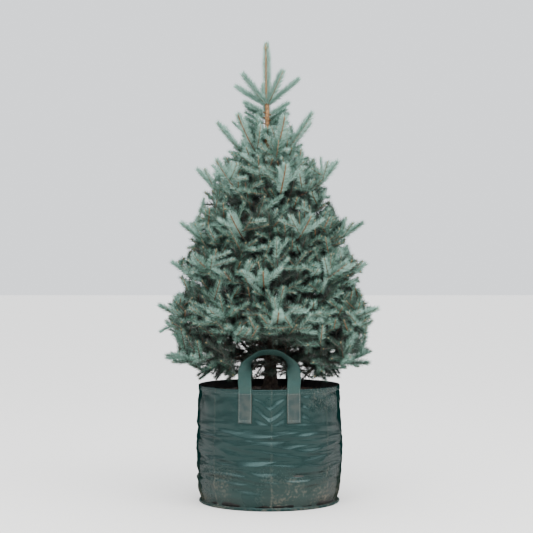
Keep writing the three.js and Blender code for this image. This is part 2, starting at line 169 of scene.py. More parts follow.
@dataclass
class Kind:
    """A kind of spray in a year's ring: its length, angle and place round the bough, and its side."""

    length: float
    angle: float
    roll: float
    branch: int = 0


YEAR = 0.094
RINGS_OF_SPRAYS = (
    (Kind(0.096, 48, 78), Kind(0.096, 48, -78), Kind(0.074, 50, 10)),
    (Kind(0.130, 52, 80, 1), Kind(0.130, 52, -80, -1), Kind(0.096, 52, -12), Kind(0.070, 44, 176)),
    (Kind(0.104, 58, 72), Kind(0.104, 58, -72)),
)
BRANCH_LENGTH = 0.078
BRANCH_ANGLE = 50
BRANCH_SHARE = 0.36
FIRST_RING = 0.03
SPRAY_LIFT = 0.22

CROWN_HEIGHT = 1.356
CROWN_LIFT = 0.1
CROWN_SHOOTS = ((166, 29, 0.126), (207, 46, 0.136), (310, 52, 0.134), (354, 37, 0.138), (96, 40, 0.118))


@dataclass
class Collar:
    """The short shoots on a stretch of the trunk."""

    name: str
    seed: int
    count: int
    heights: tuple
    rise: tuple
    length: float


COLLARS = (
    Collar("upper_stem_needles", 900, 12, (1.180, 1.314), (2, 36), 0.086),
    Collar("middle_stem_needles", 901, 9, (0.992, 1.092), (10, 34), 0.104),
)
FIRST_BEARING = 20
STEM_COVERED = 0.06
WHORLS = (CROWN_HEIGHT, *(tier.height for tier in TIERS))
TIER_HEIGHTS = [tier.height for tier in TIERS[::-1]]

# What the sprays keep clear of.
CORE_RADIUS = 0.009
OWN_SPACE = 0.0025
RIM_ROOM = 0.014
HANDLE_ROOM = (0.118, 0.140, BAG_RIM + LOOP_HEIGHT + 0.024)
TESTED_SHARES = np.array([0.4, 0.6, 0.8, 1.0])
PATH_STEPS = 8

# The finer shoots, which only the scene has. They end inside this outline of heights and radii.
CROWN_OUTLINE = (
    (0.420, 0.205),
    (0.450, 0.250),
    (0.480, 0.290),
    (0.510, 0.318),
    (0.580, 0.335),
    (0.610, 0.362),
    (0.640, 0.362),
    (0.667, 0.352),
    (0.735, 0.300),
    (0.810, 0.312),
    (0.880, 0.262),
    (0.958, 0.270),
    (1.040, 0.205),
    (1.130, 0.192),
    (1.200, 0.135),
    (1.270, 0.095),
    (1.340, 0.074),
    (1.370, 0.030),
)
OUTLINE_WANDER = 0.030
WANDER_SCALE = 9.0
LOW = (0.47, 0.58)
LOW_SPACING = 0.007  # added to the spacing at the foot of the crown
DEPTH_OF_SHADE = 0.14
BRIGHT = (1.02, 1.20)  # heights above which the crown is thin and bright right through
BRIGHTENING = 0.6
LAST_SHOOT = 0.115
LIMBS = 50
LIMB_HEIGHTS = (0.455, 1.07)
LIMB_SHARES = ((0.455, 0.74), (0.62, 0.92), (0.90, 1.02), (1.07, 0.86))  # of the tiers' boughs at a height
LIMB_TURN = 20  # degrees by which the limbs turn up more than the tiers' boughs
LIMB_RADIUS = 0.0034
LAST_RADIUS = 0.0030
SHOOT_RADIUS = 0.0024
DEAD_TWIGS = 76
DEAD_TWIG_HEIGHTS = (0.455, 0.66)
DEAD_TWIG_LENGTHS = (0.07, 0.20)
DEAD_TWIG_RADII = (0.0013, 0.0008)  # of the twigs, and of the smaller ones on them
DEAD_BRANCH_SHARE = 0.4  # length of a smaller twig, as a share of its parent's
LOW_SHOOTS = 20
LOW_SHOOT_HEIGHTS = (0.455, 0.53)
LOW_SHOOT_LENGTHS = (0.10, 0.16)
LOW_SHOOT_RISES = (-16, 8)
HANGING_SHOOTS = {5: 3, 6: 15}  # below each bough of a tier
HANGING_LENGTHS = (0.075, 0.125)
HANGING_REACH = 0.045  # by which they may leave the outline
TOP_SHOOTS = 18
TOP_SHOOT_HEIGHTS = (1.165, 1.330)
TOP_SHOOT_LENGTHS = (0.074, 0.096)
TRUNK_SHOWS = 0.17  # share of a short shoot's length without needles, at the trunk
FRONT_SHARE = 0.55  # a short shoot that points forward by more than this share would hide the trunk
PLAIN_MASSES = ("leader", "upper", "top")  # on whose shoots no finer ones grow
FINGERS = (0.055, 0.105)
FINGER_ANGLE = 50
FINGER_PLACES = (0.08, 0.84)  # shares of the parent, the first of them counted from its needles' start
FINGER_SLANT = 0.66  # how far a finger reaches along its parent, as a share of its length
FINGER_BEYOND = 0.014  # by which it may reach past its parent's tip
SHORTEST = 0.042
MOST_INWARD = 0.25  # share of its length by which a finger may grow towards the trunk
STEEPEST_FALL = 0.2  # share of its length by which a finger may fall
LOW_FALL = 0.7  # added to that share at the foot of the crown
SPACING = 0.0178
SHADED_SPACING = 0.003  # added to the spacing deep in the crown
OLD_DEPTH = 0.32
OLD_HEIGHT = 0.60  # below it the shoots' bark is old
SAMPLE_STEP = 0.012
NEWEST_PLACES = 120
ROUNDS = 10
ATTEMPTS = 32  # on each metre of a shoot, in each round
GROWTH_SEED = 499
FINGER_SHARES = np.array([0.6, 0.8, 1.0])
# Needle tints from light to dark; the darker ones are partly painted shade for the inside of the crown.
TINTS = ("frosted", "silver", "blue", "teal", "green", "deep")


def unit(vectors):
    """The same vectors, each of length 1."""
    return vectors / np.linalg.norm(vectors, axis=-1, keepdims=True)


def smoothstep(low, high, value):
    """Rises smoothly from 0 at low to 1 at high."""
    t = np.clip((np.asarray(value, float) - low) / (high - low), 0, 1)
    return t * t * (3 - 2 * t)


def spread(i, count, ends):
    """The value of item i, where a count of them is spread evenly between two ends."""
    return np.interp(i / (count - 1), (0, 1), ends)


def heading(bearing, rise):
    """The direction at a bearing, counted from the right, and a slope, both in degrees."""
    around = math.radians(bearing)
    above = math.radians(rise)
    level = math.cos(above)
    return np.array([level * math.cos(around), level * math.sin(around), math.sin(above)])


class Draw:
    """The small generator of numbers by which the solids grow too."""

    RANGE = 2**32
    FACTOR = 1664525
    STEP = 1013904223

    def __init__(self, seed):
        self.state = (seed * 7919 + 17) % self.RANGE

    def __call__(self, low, high):
        self.state = (self.state * self.FACTOR + self.STEP) % self.RANGE
        return low + (high - low) * self.state / self.RANGE


class Path:
    """A curve that starts towards its bend and ends at its tip."""

    def __init__(self, base, bend, tip):
        self.base = np.asarray(base, float)
        self.bend = np.asarray(bend, float)
        self.tip = np.asarray(tip, float)

    def point(self, share):
        """The place at a share of the curve."""
        t = np.asarray(share, float)[..., None]
        return (1 - t) ** 2 * self.base + 2 * t * (1 - t) * self.bend + t**2 * self.tip

    def frame(self, share):
        """The directions along, beside and above the curve at a share of it."""
        t = np.clip(np.asarray(share, float), 0, 1)[..., None]
        along = unit((1 - t) * (self.bend - self.base) + t * (self.tip - self.bend))
        beside = unit(np.cross(along, UP))
        return along, beside, np.cross(beside, along)

    def part(self, low, high):
        """The stretch of the curve between two shares."""
        base = self.point(low)
        heading_there = (1 - low) * (self.bend - self.base) + low * (self.tip - self.bend)
        return Path(base, base + (high - low) * heading_there, self.point(high))


@dataclass
class Shoot:
    """A stem with needles from the share `start` of its path on.

    `depth` is 0 outside and 1 deep in the crown, and `young` shoots are the leading ones. `lean` is the
    needles' angle to the stem, in degrees, at the foot, near the end and at the tip. `needles` is their share
    of the full length, and `dense` of the full number. `covered` shoots have no stem of their own, because
    they lie on a bough, and `bare` ones have no needles.
    """

    path: Path
    length: float
    start: float = 0.02
    depth: float = 0.0
    radius: float = TWIG_RADIUS
    young: bool = False
    lean: tuple = (68, 56, 34)
    needles: float = 1.0
    dense: float = 1.0
    covered: bool = False
    bare: bool = False


@dataclass
class Mass:
    """One space of the crown: the axes that it grows round, and its shoots."""

    name: str
    axes: list
    shoots: list = field(default_factory=list)
    tier: int = 0
    length: float = 0.0
    bare: float = 0.0
    draw: Draw = None


TRUNK = Path(
    (FOOT_X, 0, TRUNK_FOOT),
    ((FOOT_X + TIP_X) / 2, 2 * BOW_Y, (TRUNK_FOOT + TRUNK_TIP) / 2),
    (TIP_X, 0, TRUNK_TIP),
)


def trunk_share(height):
    """How far up the trunk a height is."""
    return (np.asarray(height, float) - TRUNK_FOOT) / (TRUNK_TIP - TRUNK_FOOT)


def trunk_radius(height):
    """The trunk's radius at a height, with the flare at its foot."""
    taper = TRUNK_RADIUS + (LEADER_RADIUS - TRUNK_RADIUS) * trunk_share(height)
    return taper + FLARE * np.exp((TRUNK_FOOT - np.asarray(height)) / FLARE_HEIGHT)


def bough_radius(mass, share):
    """A bough's radius, which grows with its length and tapers to a twig's."""
    return TWIG_RADIUS + (BOUGH_RADIUS - TWIG_RADIUS) * (mass.length / BOUGH_SPAN) * (1 - np.asarray(share))


def shoot_path(base, direction, length, lift=SPRAY_LIFT):
    """Straight at first, and turned up towards the end by lift."""
    bend = base + direction * length / 2
    return Path(base, bend, bend + unit(direction + UP * lift) * length / 2)


def sprout(parent, share, angle, roll, length, lift=SPRAY_LIFT):
    """The path of a shoot that leaves its parent at an angle to it, rolled round it from the upper side."""
    along, beside, above = parent.frame(share)
    turn = math.radians(angle)
    about = math.radians(roll)
    side = beside * math.sin(about) + above * math.cos(about)
    return shoot_path(parent.point(share), along * math.cos(turn) + side * math.sin(turn), length, lift)


def plan_boughs():
    """The boughs' own paths, by the same draws as the solids."""
    masses = []
    for level, tier in enumerate(TIERS):
        for i, bearing in enumerate(tier.bearings):
            draw = Draw(level * TIER_SEEDS + i + 1)
            length = tier.length * draw(0.95, 1.05)
            base = TRUNK.point(trunk_share(tier.height + (STAGGER if i % 2 else -STAGGER)))
            start = heading(bearing, tier.rise[0] + draw(-3, 3))
            end_bearing = bearing + draw(-7, 7)
            end = heading(end_bearing, tier.rise[1] + draw(-5, 5))
            bend = base + start * length / 2
            path = Path(base, bend, bend + end * length / 2)
            name = f"tier{level + 1}_needles_{bearing}"
            masses.append(Mass(name, [path], tier=level + 1, length=length, bare=tier.bare, draw=draw))
    return masses


def plan_leader():
    """The leading shoot and the five shoots round its foot."""
    base = TRUNK.point(trunk_share(CROWN_HEIGHT))
    look = {"young": True, "radius": 0.0032, "lean": (60, 46, 28), "needles": 1.35, "dense": 3.0}
    shoots = []
    for bearing, rise, length in CROWN_SHOOTS:
        path = shoot_path(base, heading(bearing, rise), length, CROWN_LIFT)
        shoots.append(Shoot(path, length, STEM_COVERED, **look))
    tip = TRUNK.point(1.0)
    stem = Path(base, (base + tip) / 2, tip)
    return Mass("leader_needles", [stem, *(shoot.path for shoot in shoots)], shoots)


def leader_stem(path):
    """The leading shoot itself, on the trunk's last stretch."""
    look = {"young": True, "radius": 0.004, "lean": (60, 50, 26), "needles": 1.28, "dense": 3.0}
    return Shoot(path, TRUNK_TIP - CROWN_HEIGHT, 0.0, covered=True, **look)


def is_beside(path):
    """Whether a shoot leaves the trunk in sight from the front."""
    way = path.tip - path.base
    return way[1] > -FRONT_SHARE * np.hypot(*way[:2])


def plan_collar(collar):
    """The short shoots on a stretch of the trunk, one turn of the golden angle after another."""
    draw = Draw(collar.seed)
    shoots = []
    for i in range(collar.count):
        slope = spread(i, collar.count, collar.rise) + draw(-5, 5)
        size = collar.length * draw(0.86, 1.08)
        base = TRUNK.point(trunk_share(spread(i, collar.count, collar.heights)))
        path = shoot_path(base, heading(FIRST_BEARING + i * GOLDEN_ANGLE, slope), size)
        shoots.append(Shoot(path, size, TRUNK_SHOWS, radius=SHOOT_RADIUS, needles=1.2, dense=1.8))
    axes = [shoot.path for shoot in shoots]
    if collar.heights[0] > TOP_SHOOT_HEIGHTS[0]:
        shoots = [shoot for shoot in shoots if is_beside(shoot.path)]
    return Mass(collar.name, axes, shoots)


def is_open(points, room):
    """Which points are clear of the trunk, the bag's rim and both handles."""
    axis = TRUNK.point(trunk_share(points[:, 2]))
    from_trunk = np.hypot(*(points - axis)[:, :2].T)
    wide, deep, high = HANDLE_ROOM
    at_handle = (np.abs(points[:, 0]) < wide) & (np.abs(points[:, 1]) > deep) & (points[:, 2] < high)
    return (from_trunk > trunk_radius(points[:, 2]) + room) & (points[:, 2] > BAG_RIM + RIM_ROOM) & ~at_handle


class Crown:
    """All masses, and the rule that a point belongs to the mass whose axis is nearest."""

    def __init__(self):
        self.masses = [*plan_boughs(), plan_leader(), *map(plan_collar, COLLARS)]
        shares = np.linspace(0, 1, PATH_STEPS + 1)
        lines = [axis.point(shares) for mass in self.masses for axis in mass.axes]
        self.starts = np.concatenate([line[:-1] for line in lines])
        self.runs = np.concatenate([np.diff(line, axis=0) for line in lines])
        counts = [len(mass.axes) * PATH_STEPS for mass in self.masses]
        self.firsts = np.concatenate([[0], np.cumsum(counts)[:-1]])

    def distances(self, points):
        """Each point's distance from each mass's nearest axis."""
        away = points[:, None] - self.starts
        t = np.clip((away * self.runs).sum(-1) / (self.runs**2).sum(-1), 0, 1)
        gaps = np.linalg.norm(away - t[..., None] * self.runs, axis=-1)
        return np.minimum.reduceat(gaps, self.firsts, axis=1)

    def has_room(self, index, path):
        """Whether a spray along this path stays in its mass's space."""
        points = path.point(TESTED_SHARES)
        gaps = self.distances(points)
        own = gaps[:, index].copy() + CORE_RADIUS + OWN_SPACE
        gaps[:, index] = np.inf
        return bool(is_open(points, CORE_RADIUS).all() and (gaps.min(axis=1) > own).all())


def bough_cover(path, length, start, covered=True):
    """The needles on a bough: those on its last year's shoot, and the older ones behind it.

    Where the bough isn't drawn up to its tip, `covered` is False, and the last shoot has a stem of its own.
    """
    young = 1 - LAST_SHOOT / length
    older = Shoot(path.part(start, young), (young - start) * length, 0.0, radius=0.003, covered=True)
    end = path.part(young, 1.0)
    last = Shoot(end, LAST_SHOOT, 0.0, radius=LAST_RADIUS, needles=1.3, dense=2.1, covered=covered)
    return [last, older]


def grow_ring(crown, index, share, ring):
    """One year's ring of sprays and branches, each of them only where it stays in its mass's space."""
    mass = crown.masses[index]
    draw = mass.draw
    for kind in ring:
        size = kind.length * draw(0.88, 1.1)
        at = share + draw(-0.03, 0.03)
        angle = kind.angle + draw(-6, 6)
        spray = sprout(mass.axes[0], at, angle, kind.roll + draw(-9, 9), size)
        branch_angle = BRANCH_ANGLE + draw(-6, 6)
        branch_size = BRANCH_LENGTH * draw(0.9, 1.1)
        if not crown.has_room(index, spray):
            continue
        mass.shoots.append(Shoot(spray, size))
        if not kind.branch:
            continue
        branch = sprout(spray, BRANCH_SHARE, branch_angle, kind.branch * 90, branch_size)
        if crown.has_room(index, branch):
            mass.shoots.append(Shoot(branch, branch_size))


def grow_sprays(crown, index):
    """The solids' own sprays: the bough's tip, and then a ring of sprays for each year towards the trunk."""
    mass = crown.masses[index]
    mass.shoots += bough_cover(mass.axes[0], mass.length, mass.bare + GAP / 2 / mass.length)
    for year, ring in enumerate(RINGS_OF_SPRAYS, 1):
        share = 1 - year * YEAR / mass.length
        if share >= mass.bare + FIRST_RING:
            grow_ring(crown, index, share, ring)


def outline_radius(points):
    """The crown's radius at the points' heights, a little larger and smaller from place to place."""
    heights, radii = np.array(CROWN_OUTLINE).T
    wander = np.array([noise.noise(Vector(point) * WANDER_SCALE) for point in points])
    return np.interp(points[:, 2], heights, radii, left=0, right=0) + OUTLINE_WANDER * wander


def depth_of(path):
    """How deep in the crown a shoot is: 0 outside and 1 in the full shade."""
    middle = path.point([0.6])
    axis = TRUNK.point(trunk_share(middle[:, 2]))
    inside = outline_radius(middle) - np.hypot(*(middle - axis)[0, :2])
    bright = BRIGHTENING * float(smoothstep(*BRIGHT, middle[0, 2]))
    return float(np.clip((1 - bright) * inside[0] / DEPTH_OF_SHADE, 0, 1))


class Room:
    """The places that the shoots take: the older ones in a search tree, and the newest in a list."""

    def __init__(self, shoots):
        self.places = []
        self.fresh = []
        for shoot in shoots:
            self.take(shoot)
        self.sort()

    def take(self, shoot):
        """Fills the places along a shoot."""
        count = max(2, round(shoot.length / SAMPLE_STEP))
        self.fresh += list(shoot.path.point(np.linspace(0.1, 1, count)))
        if len(self.fresh) > NEWEST_PLACES:
            self.sort()

    def sort(self):
        """Moves all places into a new search tree."""
        self.places += self.fresh
        self.fresh = []
        self.tree = KDTree(len(self.places))
        for i, place in enumerate(self.places):
            self.tree.insert(place, i)
        self.tree.balance()

    def is_free(self, points, spacing):
        """Whether all points keep the spacing from all places that are taken."""
        if any(self.tree.find(point)[2] < spacing for point in points):
            return False
        if not self.fresh:
            return True
        gaps = ((points[:, None] - np.array(self.fresh)) ** 2).sum(-1)
        return gaps.min() > spacing**2


def finger_path(parent, rng):
    """A new shoot's path and length, at a random place on its parent and shorter towards its tip."""
    first, last = FINGER_PLACES
    share = rng.uniform(parent.start + first, last)
    ahead = (1 - share) * parent.length
    size = min(rng.uniform(*FINGERS), (ahead + FINGER_BEYOND) / FINGER_SLANT)
    angle = FINGER_ANGLE + rng.normal(0, 8)
    return sprout(parent.path, share, angle, rng.uniform(-180, 180), size), size


def leaves_crown(path, size, low):
    """Whether a new shoot grows inwards, hangs too far down or reaches out of the crown's outline."""
    points = path.point(FINGER_SHARES)
    way = path.tip - path.base
    axis = TRUNK.point(trunk_share(points[:, 2]))
    outward = (points - axis)[-1]
    radii = np.hypot(*(points - axis)[:, :2].T)
    inward = outward[:2].dot(way[:2]) < -MOST_INWARD * size * radii[-1]
    falling = way[2] < -(STEEPEST_FALL + LOW_FALL * low) * size
    return inward or falling or (radii > outline_radius(points)).any()


def grow_finger(parent, room, rng):
    """Another shoot on its parent, or nothing where it finds no room or leaves the crown."""
    path, size = finger_path(parent, rng)
    low = 1 - float(smoothstep(*LOW, path.base[2]))
    if size < SHORTEST or leaves_crown(path, size, low):
        return None
    spacing = SPACING + SHADED_SPACING * depth_of(path) + LOW_SPACING * low
    points = path.point(FINGER_SHARES)
    if not is_open(points, CORE_RADIUS).all() or not room.is_free(points, spacing):
        return None
    return Shoot(path, size, radius=SHOOT_RADIUS)


def between_tiers(height, values):
    """One of the tiers' values, at a height between them."""
    return np.interp(height, TIER_HEIGHTS, values[::-1])


def limb_path(height, bearing, rng):
    """The path and length of a limb, cut short where it would leave the crown's outline."""
    size = between_tiers(height, [tier.length for tier in TIERS])
    size *= np.interp(height, *np.transpose(LIMB_SHARES))
    size *= rng.uniform(0.88, 1.08)
    base = TRUNK.point(trunk_share(height))
    rise = between_tiers(height, [tier.rise[0] for tier in TIERS]) + rng.uniform(-3, 8)
    bend = base + heading(bearing, rise) * size / 2
    end_rise = between_tiers(height, [tier.rise[1] for tier in TIERS]) + LIMB_TURN + rng.uniform(-8, 8)
    tip = bend + heading(bearing, end_rise) * size / 2
    fitted = min(1.0, float(outline_radius(tip[None])[0]) / np.hypot(*(tip - base)[:2]))
    return Path(base, base + (bend - base) * fitted, base + (tip - base) * fitted), size * fitted


def plan_limbs(rng):
    """Smaller boughs on the trunk between the tiers."""
    shoots = []
    for i in range(LIMBS):
        height = spread(i, LIMBS, LIMB_HEIGHTS)
        bearing = FIRST_BEARING + i * GOLDEN_ANGLE + rng.uniform(-10, 10)
        path, size = limb_path(height, bearing, rng)
        young = 1 - LAST_SHOOT / size
        shoots += bough_cover(path, size, 0.25, covered=False)
        shoots.append(Shoot(path.part(0, young), size - LAST_SHOOT, bare=True, radius=LIMB_RADIUS))
    return shoots


def plan_low_shoots(rng):
    """Shaded shoots at the foot of the crown, which hang a little."""
    shoots = []
    for i in range(LOW_SHOOTS):
        base = TRUNK.point(trunk_share(spread(i, LOW_SHOOTS, LOW_SHOOT_HEIGHTS)))
        size = rng.uniform(*LOW_SHOOT_LENGTHS)
        direction = heading(i * GOLDEN_ANGLE, rng.uniform(*LOW_SHOOT_RISES))
        path = shoot_path(base, direction, size, rng.uniform(-0.2, 0.2))
        shoots.append(Shoot(path, size, start=0.3))
    return shoots


def plan_top_shoots(rng):
    """More short shoots on the trunk below the leading ones, to the left, to the right and behind."""
    shoots = []
    for i in range(TOP_SHOOTS):
        height = spread(i, TOP_SHOOTS, TOP_SHOOT_HEIGHTS)
        size = rng.uniform(*TOP_SHOOT_LENGTHS)
        bearing = 180 * (i % 2) + rng.uniform(-22, 22) - 90 * (i % 5 == 3)
        direction = heading(bearing, rng.uniform(6, 20) + 70 * (height - TOP_SHOOT_HEIGHTS[0]))
        path = shoot_path(TRUNK.point(trunk_share(height)), direction, size, rng.uniform(0.05, 0.25))
        shoots.append(Shoot(path, size, TRUNK_SHOWS, radius=SHOOT_RADIUS, needles=1.25, dense=2.4))
    return shoots


def plan_hanging_shoots(masses, rng):
    """Shaded shoots that hang from the boughs of the two lowest tiers."""
    shoots = []
    for mass in masses:
        for _ in range(HANGING_SHOOTS.get(mass.tier, 0)):
            size = rng.uniform(*HANGING_LENGTHS)
            share = rng.uniform(0.35, 0.80)
            roll = 180 + rng.uniform(-60, 60)
            path = sprout(mass.axes[0], share, rng.uniform(40, 65), roll, size, rng.uniform(-0.3, 0.0))
            inside = math.hypot(*path.tip[:2]) < outline_radius(path.tip[None])[0] + HANGING_REACH
            if inside and is_open(path.point(TESTED_SHARES), CORE_RADIUS).all():
                shoots.append(Shoot(path, size, radius=0.0018, dense=1.3, lean=(58, 48, 28)))
    return shoots


def plan_dead_twigs(rng):
    """Thin bare twigs low on the trunk, with smaller ones on them."""
    twigs = []
    for i in range(DEAD_TWIGS):
        height = spread(i, DEAD_TWIGS, DEAD_TWIG_HEIGHTS)
        size = rng.uniform(*DEAD_TWIG_LENGTHS)
        direction = heading(i * GOLDEN_ANGLE, rng.uniform(-28, 50))
        path = shoot_path(TRUNK.point(trunk_share(height)), direction, size, rng.uniform(-0.3, 0.3))
        twigs.append(Shoot(path, size, depth=1.0, bare=True, radius=DEAD_TWIG_RADII[0]))
        for side in (-1, 1, 1, -1)[: rng.integers(2, 5)]:
            share = rng.uniform(0.35, 0.85)
            branch_size = size * DEAD_BRANCH_SHARE
            branch = sprout(path, share, 48, side * 90 + rng.uniform(-40, 40), branch_size)
            twigs.append(Shoot(branch, branch_size, depth=1.0, bare=True, radius=DEAD_TWIG_RADII[1]))
    return [twig for twig in twigs if is_open(twig.path.point(TESTED_SHARES), 0).all()]


def grow_fingers(masses, rng):
    """Lets finer shoots grow on the shoots and on one another, wherever they find room."""
    room = Room([shoot for mass in masses for shoot in mass.shoots])
    parents = [mass for mass in masses if not mass.name.startswith(PLAIN_MASSES)]
    families = [[mass, shoot] for mass in parents for shoot in mass.shoots if not shoot.bare]
    for _ in range(ROUNDS):
        for i in rng.permutation(len(families)):
            mass, parent = families[i]
            for _ in range(1 + round(ATTEMPTS * parent.length)):
                finger = grow_finger(parent, room, rng)
                if finger:
                    room.take(finger)
                    mass.shoots.append(finger)
                    families.append([mass, finger])


@cache
def grown():
    """The crown's masses with every shoot on them, and two more for the inner and the top shoots."""
    crown = Crown()
    for index, mass in enumerate(crown.masses):
        if mass.tier:
            grow_sprays(crown, index)
    rng = np.random.default_rng(GROWTH_SEED)
    extra = plan_limbs(rng) + plan_low_shoots(rng) + plan_hanging_shoots(crown.masses, rng)
    inner = Mass("inner_needles", [], extra)
    top = Mass("top_needles", [], plan_top_shoots(rng))
    masses = [*crown.masses, inner, top]
    grow_fingers(masses, rng)
    for mass in masses:
        if mass.name == "leader_needles":
            mass.shoots.append(leader_stem(mass.axes[0]))
        for shoot in mass.shoots:
            shoot.depth = 0.0 if shoot.young else depth_of(shoot.path)
    inner.shoots += plan_dead_twigs(rng)
    return masses


# Meshes.


def mesh_object(name, corners, faces, smooth=False):
    """A new object from arrays: corners, and one or more arrays of faces with as many corners in each row."""
    mesh = bpy.data.meshes.new(name)
    faces = [np.asarray(block, np.int32) for block in faces]
    sizes = np.concatenate([np.full(len(block), block.shape[1], np.int32) for block in faces])
    mesh.vertices.add(len(corners))
    mesh.vertices.foreach_set("co", np.asarray(corners, np.float32).ravel())
    mesh.loops.add(int(sizes.sum()))
    mesh.loops.foreach_set("vertex_index", np.concatenate([block.ravel() for block in faces]))
    mesh.polygons.add(len(sizes))
    mesh.polygons.foreach_set("loop_start", np.concatenate([[0], np.cumsum(sizes)[:-1]]).astype(np.int32))
    mesh.polygons.foreach_set("use_smooth", np.full(len(sizes), smooth))
    mesh.update(calc_edges=True)
    mesh.validate()
    piece = bpy.data.objects.new(name, mesh)
    bpy.context.scene.collection.objects.link(piece)
    return piece


def mark(piece, name, values):
    """Keeps one number for each corner with the mesh, for its material to read."""
    attribute = piece.data.attributes.new(name, "FLOAT", "POINT")
    attribute.data.foreach_set("value", np.asarray(values, np.float32))


def finish_piece(piece, materials, replaced=()):
    """Gives a piece its materials and the body that it rides on."""
    for material in materials:
        piece.data.materials.append(material)
    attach(piece, "root")
    if replaced:
        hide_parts(*replaced)
    return piece


def nodes_like(*starts):
    """The frame's nodes whose names start with one of these."""
    return sorted(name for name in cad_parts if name.startswith(starts))


def grid_faces(rows, columns):
    """Four-cornered faces between the rows of a grid of corners, whose columns close on themselves."""
    row = np.arange(rows - 1)[:, None]
    column = np.arange(columns)[None]
    beyond = (column + 1) % columns
    a = row * columns + column
    b = row * columns + beyond
    return np.stack([a, b, b + columns, a + columns], axis=-1).reshape(-1, 4)


def end_faces(rows, columns):
    """Triangles that close both ends of a grid, round two corners that follow the grid's own."""
    first = np.arange(columns)
    following = (first + 1) % columns
    last = (rows - 1) * columns
    foot = np.stack([np.full(columns, rows * columns), following, first], axis=-1)
    tip = np.stack([np.full(columns, rows * columns + 1), last + first, last + following], axis=-1)
    return np.vstack([foot, tip])


def tube(centres, beside, above, radii):
    """The corners and faces of a round stem. radii holds one radius for each ring, or one for each corner."""
    radii = np.asarray(radii, float)
    rings, sides = radii.shape
    angle = np.arange(sides) / sides * TURN
    out = beside[:, None] * np.sin(angle)[:, None] + above[:, None] * np.cos(angle)[:, None]
    corners = (centres[:, None] + out * radii[..., None]).reshape(-1, 3)
    corners = np.vstack([corners, centres[0], centres[-1]])
    return corners, grid_faces(rings, sides), end_faces(rings, sides)


class Bundle:
    """Many small meshes gathered into one."""

    def __init__(self):
        self.corners = []
        self.faces = {}
        self.count = 0

    def add(self, corners, *blocks):
        """Adds corners, and blocks of faces that count from their own first corner."""
        for block in blocks:
            self.faces.setdefault(block.shape[1], []).append(block + self.count)
        self.corners.append(corners)
        self.count += len(corners)

    def build(self, name, smooth=False):
        """Makes the object."""
        blocks = [np.concatenate(self.faces[size]) for size in sorted(self.faces)]
        return mesh_object(name, np.concatenate(self.corners), blocks, smooth)


def rough(points, scale, seed=0.0):
    """Smooth noise from -1 to 1 at each point, whose scale is a number or one for each axis."""
    shift = Vector((seed, 1.7 * seed, 0.3 * seed))
    return np.array([noise.noise(Vector(point) + shift) for point in np.asarray(points) * scale])


# The tree.


PARTINGS = (18, 44)  # half of the angles that stay free of needles on a shoot's upper side and underneath
NEEDLE_FOOT = ((0.0, 1.0), (0.866, -0.5), (-0.866, -0.5))  # an even triangle round a needle's base
FOOT_SIZE = 0.577  # from that triangle's middle to its corners, as a share of its sides
NEEDLE_RISE = 0.12  # by which needles turn up
NEEDLE_FACES = np.array([[0, 1, 3], [1, 2, 3], [2, 0, 3]])
PLAIN_TINT = 0.65  # the tint of a spray outside the crown, counted from the lightest
SHADE_TINTS = 6.5  # tints by which the full shade is darker
LOW_TINTS = (0.6, 0.7)  # tints of painted shade by which the crown's lower part is darker, and those added at its foot
HIGH_TINTS = 0.5  # tints by which the crown's top is lighter
YOUNG_TINTS = 0.6  # tints by which the leading shoots are lighter
MIXED_TINTS = 0.7  # how far the sprays' tints scatter
NEEDLE_TINTS = (-1, 0, 1, 2)  # steps from the spray's own tint towards the darker ones
NEEDLE_TINT_ODDS = (0.14, 0.50, 0.24, 0.12)
INNER_PARTS = (0.0, 0.64, 0.86, 2.0)  # heights between which the inner needles are joined into a piece each
BUD_OUTLINE = ((-0.25, 0.5), (0.1, 1.0), (0.5, 0.8), (1.0, 0.08))  # shares of its length and its radius
BUD_SIDES = 5
BUD_DEPTH = 0.3  # shoots deeper in the crown show no buds


def needle_bearings(shoot, rng, count):
    """The needles' angles round their shoot, one golden angle after another, with both partings left free."""
    spin = np.arange(count) * math.radians(GOLDEN_ANGLE) + rng.normal(0, 0.25, count)
    spin = (spin + math.pi) % TURN - math.pi
    above_gap, below_gap = np.radians(PARTINGS) * (1 - 0.6 * shoot.depth)
    return np.sign(spin) * (above_gap + np.abs(spin) * (1 - (above_gap + below_gap) / math.pi))


def needle_corners(shoot, rng, look, count):
    """Four corners for each needle, three round its base and one at its tip."""
    along_shoot = (np.arange(count) + rng.random(count)) / count
    share = shoot.start + (1 - shoot.start) * along_shoot
    along, beside, above = shoot.path.frame(share)
    spin = needle_bearings(shoot, rng, count)
    out = beside * np.sin(spin)[:, None] + above * np.cos(spin)[:, None]
    lean = np.radians(np.interp(along_shoot, (0, 0.8, 1), shoot.lean) + rng.normal(0, 6, count))
    direction = unit(along * np.cos(lean)[:, None] + out * np.sin(lean)[:, None] + UP * NEEDLE_RISE)
    length = look.needle_length * shoot.needles * rng.uniform(0.84, 1.08, count)
    length *= np.interp(along_shoot, (0, 0.12, 0.8, 1), (0.75, 1, 1, 0.8))
    base = shoot.path.point(share) + out * shoot.radius * 0.5
    side = unit(np.cross(direction, out))
    third = np.cross(direction, side)
    corners = np.empty((count, 4, 3))
    for i, (a, b) in enumerate(NEEDLE_FOOT):
        corners[:, i] = base + (third * a + side * b) * (look.needle_width * FOOT_SIZE)
    corners[:, 3] = base + direction * length[:, None]
    return corners


